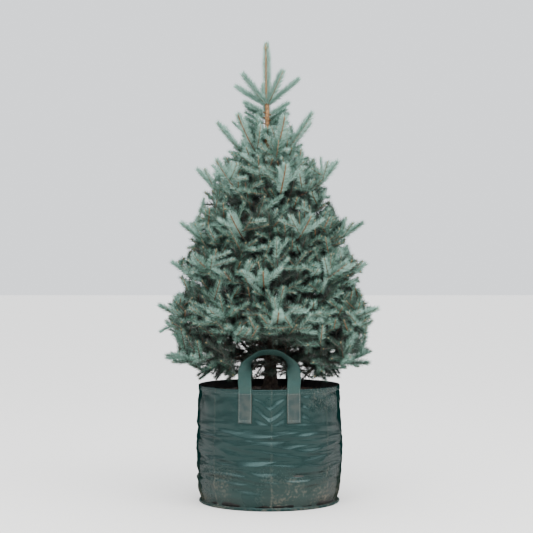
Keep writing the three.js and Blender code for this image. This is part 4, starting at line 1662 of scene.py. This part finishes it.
def twig_material(name, colour):
    """The thin bark of shoots."""
    material, tree, shader = new_material(name, 0.6)
    spots = patches(tree, 120.0, 0.5, 0.2)
    worn = rgba(np.array(colour) * 0.5)
    tree.links.new(blend_colours(tree, spots, rgba(colour), worn), shader["Base Color"])
    bump(tree, shader, fine_noise(tree, 600.0), 0.0004)
    return material


def bud_material(colour):
    """Papery scales on the buds."""
    material, tree, shader = new_material("Bud scales", 0.5)
    inputs = {"Vector": place_of(tree), "Scale": 420.0}
    scales = add_node(tree, "ShaderNodeTexVoronoi", inputs, feature="DISTANCE_TO_EDGE").outputs["Distance"]
    edge = ramp_between(tree, scales, 0.0, 0.25)
    dark = rgba(np.array(colour) * 0.45)
    tree.links.new(blend_colours(tree, edge, dark, rgba(colour)), shader["Base Color"])
    bump(tree, shader, edge, 0.0004)
    return material


def round_place(tree):
    """The way round the bag and the height, in metres, as two outputs."""
    parts = add_node(tree, "ShaderNodeSeparateXYZ", {"Vector": place_of(tree)}).outputs
    angle = calculate(tree, "ARCTAN2", parts["X"], multiply(tree, parts["Y"], -1.0))
    return multiply(tree, angle, CLOTH_RADIUS), parts["Z"]


def bump_weave(tree, shader):
    """The bag's weave of flat tapes."""
    arc, height = round_place(tree)
    weave = use_group(tree, weave_group(), across=arc, along=height, pitch=0.0024)["Height"]
    bump(tree, shader, weave, 0.0003, 0.5)


def worn_creases(tree, low):
    """Where the upright creases are scuffed, most of all low down."""
    streaks = multiply(tree, kept_number(tree, "crease"), patches(tree, 60.0, 0.52, 0.1))
    return multiply(tree, streaks, calculate(tree, "MULTIPLY_ADD", low, 0.34, 0.09))


def splashed_dirt(tree, low):
    """Spots of dirt splashed up from the ground, over a thin film."""
    blots = multiply(tree, patches(tree, 120.0, 0.44, 0.2), patches(tree, 9.0, 0.46, 0.12))
    film = multiply(tree, low, patches(tree, 5.0, 0.55, 0.25), 0.09)
    return calculate(tree, "MAXIMUM", multiply(tree, blots, low, 0.60), film)


def rubbed_place(tree):
    """The rubbed place below the hem, right of the front handle."""
    arc, height = round_place(tree)
    high = ramp_between(tree, height, BAG_RIM - 0.10, BAG_RIM - 0.03)
    right = multiply(tree, ramp_between(tree, arc, 0.12, 0.16), ramp_between(tree, arc, 0.30, 0.26))
    return multiply(tree, high, right, patches(tree, 130.0, 0.42, 0.10), 0.17)


def gloss(tree):
    """The cloth's gloss, which is strongest where it faces the eye."""
    glancing = add_node(tree, "ShaderNodeLayerWeight", {"Blend": 0.5}).outputs["Facing"]
    return multiply(tree, one_less(tree, ramp_between(tree, glancing, 0.12, 0.76)), 0.41)


def cloth_material(bag):
    """Coated woven cloth with dusty creases, scuffs and dirt splashed up from the ground."""
    material, tree, shader = new_material("Bag cloth", 0.34)
    low = one_less(tree, ramp_between(tree, height_of(tree), 0.0, 0.17))
    cloudy = rgba(np.array(bag.cloth_colour) * 0.72)
    cloth = blend_colours(tree, patches(tree, 7.0, 0.5, 0.22), rgba(bag.cloth_colour), cloudy)
    cloth = blend_colours(tree, worn_creases(tree, low), cloth, rgba(bag.dust_colour))
    dust = calculate(tree, "MAXIMUM", splashed_dirt(tree, low), rubbed_place(tree))
    tree.links.new(blend_colours(tree, dust, cloth, rgba(bag.dust_colour)), shader["Base Color"])
    tree.links.new(calculate(tree, "MULTIPLY_ADD", dust, 0.8, 0.25), shader["Roughness"])
    tree.links.new(gloss(tree), shader["Specular IOR Level"])
    shader["Specular Tint"].default_value = rgba(bag.gloss_colour)
    bump_weave(tree, shader)
    return material


def welt_material(bag):
    """The teal binding round the foot, dusted in places."""
    material, tree, shader = new_material("Welt", 0.7)
    shader["Specular IOR Level"].default_value = 0.1
    dusty = multiply(tree, patches(tree, 60.0, 0.45, 0.15), 0.25)
    colour = blend_colours(tree, dusty, rgba(bag.welt_colour), rgba(bag.dust_colour))
    tree.links.new(colour, shader["Base Color"])
    return material


def lining_material():
    """The black back of the coated cloth."""
    material, tree, shader = new_material("Bag lining", 0.6)
    dust = multiply(tree, patches(tree, 30.0, 0.45, 0.15), 0.4)
    colour = blend_colours(tree, dust, (0.006, 0.007, 0.007, 1), (0.05, 0.042, 0.033, 1))
    tree.links.new(colour, shader["Base Color"])
    bump_weave(tree, shader)
    return material


def webbing_material(bag):
    """Ribbed webbing, worn pale and dusty on the sewn ends and along its edges."""
    material, tree, shader = new_material("Webbing", 0.62)
    shader["Specular IOR Level"].default_value = 0.25
    across = kept_number(tree, "across")
    along = kept_number(tree, "gone")
    weave = use_group(tree, weave_group(), across=across, along=along, pitch=0.0018)["Height"]
    sewn = one_less(tree, ramp_between(tree, height_of(tree), BAG_RIM - 0.016, BAG_RIM - 0.010))
    webbing = blend_colours(tree, sewn, rgba(bag.webbing_colour), rgba(bag.tab_colour))
    shade = blend_colours(tree, weave, rgba(np.zeros(3)), rgba(np.ones(3)))
    webbing = blend_colours(tree, 0.32, webbing, shade, "MULTIPLY")
    edge = ramp_between(tree, calculate(tree, "ABSOLUTE", across), STRAP_WIDTH / 2 - 0.003, STRAP_WIDTH / 2)
    fray = multiply(tree, edge, calculate(tree, "MULTIPLY_ADD", sewn, 0.25, 0.05))
    dusty = multiply(tree, patches(tree, 40.0, 0.5, 0.15), calculate(tree, "MULTIPLY_ADD", sewn, 0.08, 0.03))
    pale = calculate(tree, "MAXIMUM", fray, dusty)
    tree.links.new(blend_colours(tree, pale, webbing, rgba(bag.dust_colour)), shader["Base Color"])
    bump(tree, shader, weave, 0.0004, 0.8)
    return material


def thread_material():
    """Pale twisted thread."""
    material, tree, shader = new_material("Thread", 0.7)
    colour = blend_colours(tree, fine_noise(tree, 900.0), (0.09, 0.13, 0.125, 1), (0.22, 0.27, 0.255, 1))
    tree.links.new(colour, shader["Base Color"])
    return material


def soil_material(name, dark, pale):
    """Crumbs of damp potting mix."""
    material, tree, shader = new_material(name, 0.92)
    crumbs = add_node(tree, "ShaderNodeTexVoronoi", {"Vector": place_of(tree), "Scale": 170.0})
    spots = patches(tree, 90.0, 0.45, 0.1)
    tree.links.new(blend_colours(tree, spots, dark, pale), shader["Base Color"])
    bump(tree, shader, crumbs.outputs["Distance"], 0.002)
    return material


# Settings, operators and panel.


def colour_setting(name, description, default):
    """A colour that the user may change."""
    limits = {"subtype": "COLOR", "size": 3, "min": 0, "max": 1}
    return FloatVectorProperty(name=name, description=description, default=default, **limits)


def length_setting(name, description, default):
    """A length that the user may change."""
    return FloatProperty(name=name, description=description, default=default, unit="LENGTH", precision=4)


class TreeSettings(bpy.types.PropertyGroup):
    """Sizes and colours of the tree."""

    needle_length: length_setting("Needle length", "Length of a needle on the boughs", 0.0190)
    needle_width: length_setting("Needle width", "Width of a needle at its base", 0.0020)
    needles_per_metre: FloatProperty(name="Needles", description="Needles on each metre", default=1640)
    # The needle tints run from light to dark. Frosted, Silver and Blue are the needles' own colours. Teal and
    # Green are partly the older needles' own greener colour and partly painted shade. Deep, nearly black, is
    # painted shade near the trunk.
    frosted: colour_setting("Frosted", "Needles of the youngest shoots", (0.286, 0.462, 0.388))
    silver: colour_setting("Silver", "Needles outside the crown", (0.178, 0.328, 0.263))
    blue: colour_setting("Blue", "Most of the needles", (0.086, 0.192, 0.142))
    teal: colour_setting("Teal", "Needles a little way in", (0.028, 0.074, 0.050))
    green: colour_setting("Green", "Needles low down and further in", (0.015, 0.041, 0.023))
    deep: colour_setting("Deep", "Needles near the trunk", (0.003, 0.007, 0.005))
    old_shoot: colour_setting("Old shoots", "Bark of the shoots inside the crown", (0.070, 0.040, 0.024))
    shoot: colour_setting("Young shoots", "Bark of the young shoots", (0.235, 0.118, 0.052))
    bud: colour_setting("Buds", "Scales of the buds", (0.34, 0.26, 0.12))
    old_bark: colour_setting("Old bark", "Bark at the foot of the trunk", (0.060, 0.043, 0.033))
    young_bark: colour_setting("Young bark", "Bark of the upper trunk", (0.30, 0.155, 0.062))


class BagSettings(bpy.types.PropertyGroup):
    """Sizes and colours of the planter bag."""

    buckle_depth: length_setting("Buckles", "Depth of the level buckles in the wall", 0.0060)
    drape_depth: length_setting("Drapes", "Depth of the folds that hang from the straps", 0.0046)
    crease_depth: length_setting("Creases", "Height of the upright creases", 0.0012)
    cloth_colour: colour_setting("Cloth", "Coated cloth of the bag", (0.0020, 0.0135, 0.0120))
    gloss_colour: colour_setting("Gloss", "Tint of the coated cloth's gloss", (0.64, 0.95, 0.93))
    welt_colour: colour_setting("Welt", "Binding round the foot of the bag", (0.004, 0.020, 0.019))
    dust_colour: colour_setting("Dust", "Dust and dry dirt", (0.20, 0.165, 0.125))
    webbing_colour: colour_setting("Webbing", "Webbing above the rim", (0.017, 0.053, 0.047))
    tab_colour: colour_setting("Sewn ends", "Worn webbing below the rim", (0.019, 0.037, 0.036))


class StageSettings(bpy.types.PropertyGroup):
    """The camera, the lights and the floor."""

    distance: length_setting("Distance", "From the camera to the trunk", 5.16)
    eye_height: length_setting("Eye height", "Height of the camera above the floor", 0.826)
    floor_colour: colour_setting("Floor", "Pale floor", (0.72, 0.70, 0.67))
    sky: FloatProperty(name="Sky", description="Strength of the dome overhead", default=3.1)
    horizon: FloatProperty(name="Horizon", description="Strength of the dome at the horizon", default=0.3)
    backdrop: FloatProperty(name="Backdrop", description="Brightness of the plain backdrop", default=1.5)
    key: FloatProperty(name="Key light", description="Power of the large soft light", default=420)


class SPRUCE_OT_trunk(bpy.types.Operator):
    """Build the trunk and the boughs with their bark"""

    bl_idname = "spruce.trunk"
    bl_label = "Trunk and boughs"

    def execute(self, context):
        look = context.scene.spruce_tree
        bark = bark_material("Trunk bark", look.old_bark, look.young_bark, (0.75, 1.33), 75.0, 0.0015)
        finish_piece(build_trunk(), [bark], ["trunk"])
        brown = np.array(look.shoot) * 0.5
        old = bark_material("Bough bark", look.old_bark, brown, (0.5, 1.4), 120.0, 0.0008)
        limbs = [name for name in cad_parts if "_bough_" in name]
        piece, ages = build_boughs(grown())
        finish_piece(piece, [old, twig_material("Bough tip", look.shoot)], limbs)
        piece.data.polygons.foreach_set("material_index", ages)
        return {"FINISHED"}


class SPRUCE_OT_needles(bpy.types.Operator):
    """Build the needles, tier by tier"""

    bl_idname = "spruce.needles"
    bl_label = "Needles"

    def execute(self, context):
        look = context.scene.spruce_tree
        materials = [needle_material(f"Needles {tint}", getattr(look, tint)) for tint in TINTS]
        for name, shoots, replaced in needle_pieces(grown()):
            build_needles(name, shoots, look, materials, replaced)
        return {"FINISHED"}


class SPRUCE_OT_shoots(bpy.types.Operator):
    """Build the stems of the shoots and their buds"""

    bl_idname = "spruce.shoots"
    bl_label = "Shoots and buds"

    def execute(self, context):
        look = context.scene.spruce_tree
        stems = [shoot for mass in grown() for shoot in mass.shoots if not shoot.covered]
        young = [shoot for shoot in stems if is_young(shoot)]
        old = [shoot for shoot in stems if not is_young(shoot)]
        finish_piece(build_twigs("young_shoots", young), [twig_material("Young shoot", look.shoot)])
        finish_piece(build_twigs("old_shoots", old), [twig_material("Old shoot", look.old_shoot)])
        finish_piece(build_buds(grown(), np.random.default_rng(77)), [bud_material(look.bud)])
        return {"FINISHED"}


class SPRUCE_OT_bag(bpy.types.Operator):
    """Build the planter bag with its creased cloth, hem seam and welt"""

    bl_idname = "spruce.bag"
    bl_label = "Planter bag"

    def execute(self, context):
        bag = context.scene.spruce_bag
        cloth = cloth_material(bag)
        piece, slots = build_bag(bag)
        finish_piece(piece, [cloth, lining_material()], ["planter_bag"])
        piece.data.polygons.foreach_set("material_index", slots)
        finish_piece(build_welt(), [welt_material(bag)])
        finish_piece(build_hem_stitching(bag), [thread_material()])
        return {"FINISHED"}


class SPRUCE_OT_handles(bpy.types.Operator):
    """Build the two webbing handles and their seams"""

    bl_idname = "spruce.handles"
    bl_label = "Handles"

    def execute(self, context):
        webbing = webbing_material(context.scene.spruce_bag)
        finish_piece(build_handle("handle_front_webbing", 0), [webbing], ["handle_front"])
        finish_piece(build_handle("handle_back_webbing", math.pi), [webbing], ["handle_back"])
        finish_piece(build_handle_stitching(), [thread_material()])
        return {"FINISHED"}


class SPRUCE_OT_soil(bpy.types.Operator):
    """Build the potting mix with its chips of bark"""

    bl_idname = "spruce.soil"
    bl_label = "Potting mix"

    def execute(self, context):
        mix = soil_material("Potting mix", (0.030, 0.020, 0.014, 1), (0.095, 0.062, 0.040, 1))
        chips = soil_material("Bark chips", (0.060, 0.034, 0.020, 1), (0.16, 0.10, 0.062, 1))
        finish_piece(build_soil(), [mix], ["potting_soil"])
        finish_piece(build_chips(np.random.default_rng(31)), [chips])
        return {"FINISHED"}


class SPRUCE_OT_stage(bpy.types.Operator):
    """Set the pale floor, the soft light and the camera"""

    bl_idname = "spruce.stage"
    bl_label = "Stage"

    def execute(self, context):
        stage = context.scene.spruce_stage
        build_floor(stage)
        build_world(stage)
        build_key_light(stage)
        build_camera(stage)
        return {"FINISHED"}


IMAGE_SIZE = 533  # pixels, both ways
FOCAL_LENGTH = 1500 / IMAGE_SIZE  # as a share of the picture's width
HORIZON = 260  # pixels from the picture's top
SENSOR = 36.0
CAMERA_X = -0.0095
FLOOR_SIZE = 60.0
DOME_RISE = (0.08, 0.62)  # heights on the dome between which it turns from its horizon to its sky
DAYLIGHT = (0.93, 0.96, 1.0, 1.0)
KEY_WIDTH = 9.0
KEY_DEPTH = 2.6
KEY_PLACE = (0.7, -3.0, 3.8)
KEY_AIM = (0, 0, 0.8)


def build_floor(stage):
    """A plain pale floor."""
    square = np.array([(-1, -1, 0), (1, -1, 0), (1, 1, 0), (-1, 1, 0)])
    floor = mesh_object("floor", square * FLOOR_SIZE / 2, [np.array([[0, 1, 2, 3]])])
    material, _, shader = new_material("Floor", 0.9)
    shader["Base Color"].default_value = rgba(stage.floor_colour)
    floor.data.materials.append(material)


def build_world(stage):
    """A dome that is brightest overhead, and behind it a plain pale backdrop."""
    world = bpy.data.worlds.new("Studio")
    bpy.context.scene.world = world
    world.use_nodes = True
    tree = world.node_tree
    way = add_node(tree, "ShaderNodeTexCoord").outputs["Generated"]
    rise = add_node(tree, "ShaderNodeSeparateXYZ", {"Vector": way}).outputs["Z"]
    low, high = DOME_RISE
    inputs = {"Value": rise, "From Min": low, "From Max": high, "To Min": stage.horizon, "To Max": stage.sky}
    dome = add_node(tree, "ShaderNodeMapRange", inputs, interpolation_type="SMOOTHSTEP").outputs[0]
    seen = add_node(tree, "ShaderNodeLightPath").outputs["Is Camera Ray"]
    strength = add_node(tree, "ShaderNodeMix", {0: seen, 2: dome, 3: stage.backdrop}).outputs[0]
    background = tree.nodes["Background"].inputs
    background["Color"].default_value = DAYLIGHT
    tree.links.new(strength, background["Strength"])


def build_key_light(stage):
    """A large soft light above the camera."""
    lamp = bpy.data.lights.new("Key", "AREA")
    lamp.energy = stage.key
    lamp.shape = "RECTANGLE"
    lamp.size = KEY_WIDTH
    lamp.size_y = KEY_DEPTH
    key = bpy.data.objects.new("Key", lamp)
    key.location = KEY_PLACE
    key.rotation_euler = (Vector(KEY_AIM) - key.location).to_track_quat("-Z", "Y").to_euler()
    bpy.context.scene.collection.objects.link(key)


def build_camera(stage):
    """A level camera at the photograph's viewpoint."""
    data = bpy.data.cameras.new("Camera")
    data.sensor_width = SENSOR
    data.lens = FOCAL_LENGTH * SENSOR
    data.shift_y = (HORIZON - IMAGE_SIZE / 2) / IMAGE_SIZE
    camera = bpy.data.objects.new("Camera", data)
    camera.location = (CAMERA_X, -stage.distance, stage.eye_height)
    camera.rotation_euler = (math.pi / 2, 0, 0)
    bpy.context.scene.collection.objects.link(camera)
    bpy.context.scene.camera = camera


class SPRUCE_PT_panel(bpy.types.Panel):
    """The spruce's panel in the sidebar"""

    bl_idname = "SPRUCE_PT_panel"
    bl_label = "Potted Blue Spruce"
    bl_space_type = "VIEW_3D"
    bl_region_type = "UI"
    bl_category = "Spruce"

    def draw(self, context):
        for settings in (context.scene.spruce_tree, context.scene.spruce_bag, context.scene.spruce_stage):
            box = self.layout.box()
            for name in settings.__annotations__:
                box.prop(settings, name)
        for operator in OPERATORS:
            self.layout.operator(operator.bl_idname)


SETTINGS = {"spruce_tree": TreeSettings, "spruce_bag": BagSettings, "spruce_stage": StageSettings}
OPERATORS = (
    SPRUCE_OT_stage,
    SPRUCE_OT_bag,
    SPRUCE_OT_handles,
    SPRUCE_OT_soil,
    SPRUCE_OT_trunk,
    SPRUCE_OT_needles,
    SPRUCE_OT_shoots,
)
CLASSES = (*SETTINGS.values(), *OPERATORS, SPRUCE_PT_panel)


def register():
    """Registers the classes and the settings."""
    for cls in CLASSES:
        bpy.utils.register_class(cls)
    for name, cls in SETTINGS.items():
        setattr(bpy.types.Scene, name, PointerProperty(type=cls))


def unregister():
    """Takes the settings and the classes away again."""
    for name in SETTINGS:
        delattr(bpy.types.Scene, name)
    for cls in reversed(CLASSES):
        bpy.utils.unregister_class(cls)


def main():
    """Builds everything."""
    register()
    for operator in OPERATORS:
        group, name = operator.bl_idname.split(".")
        getattr(getattr(bpy.ops, group), name)()


if __name__ == "__main__":
    main()
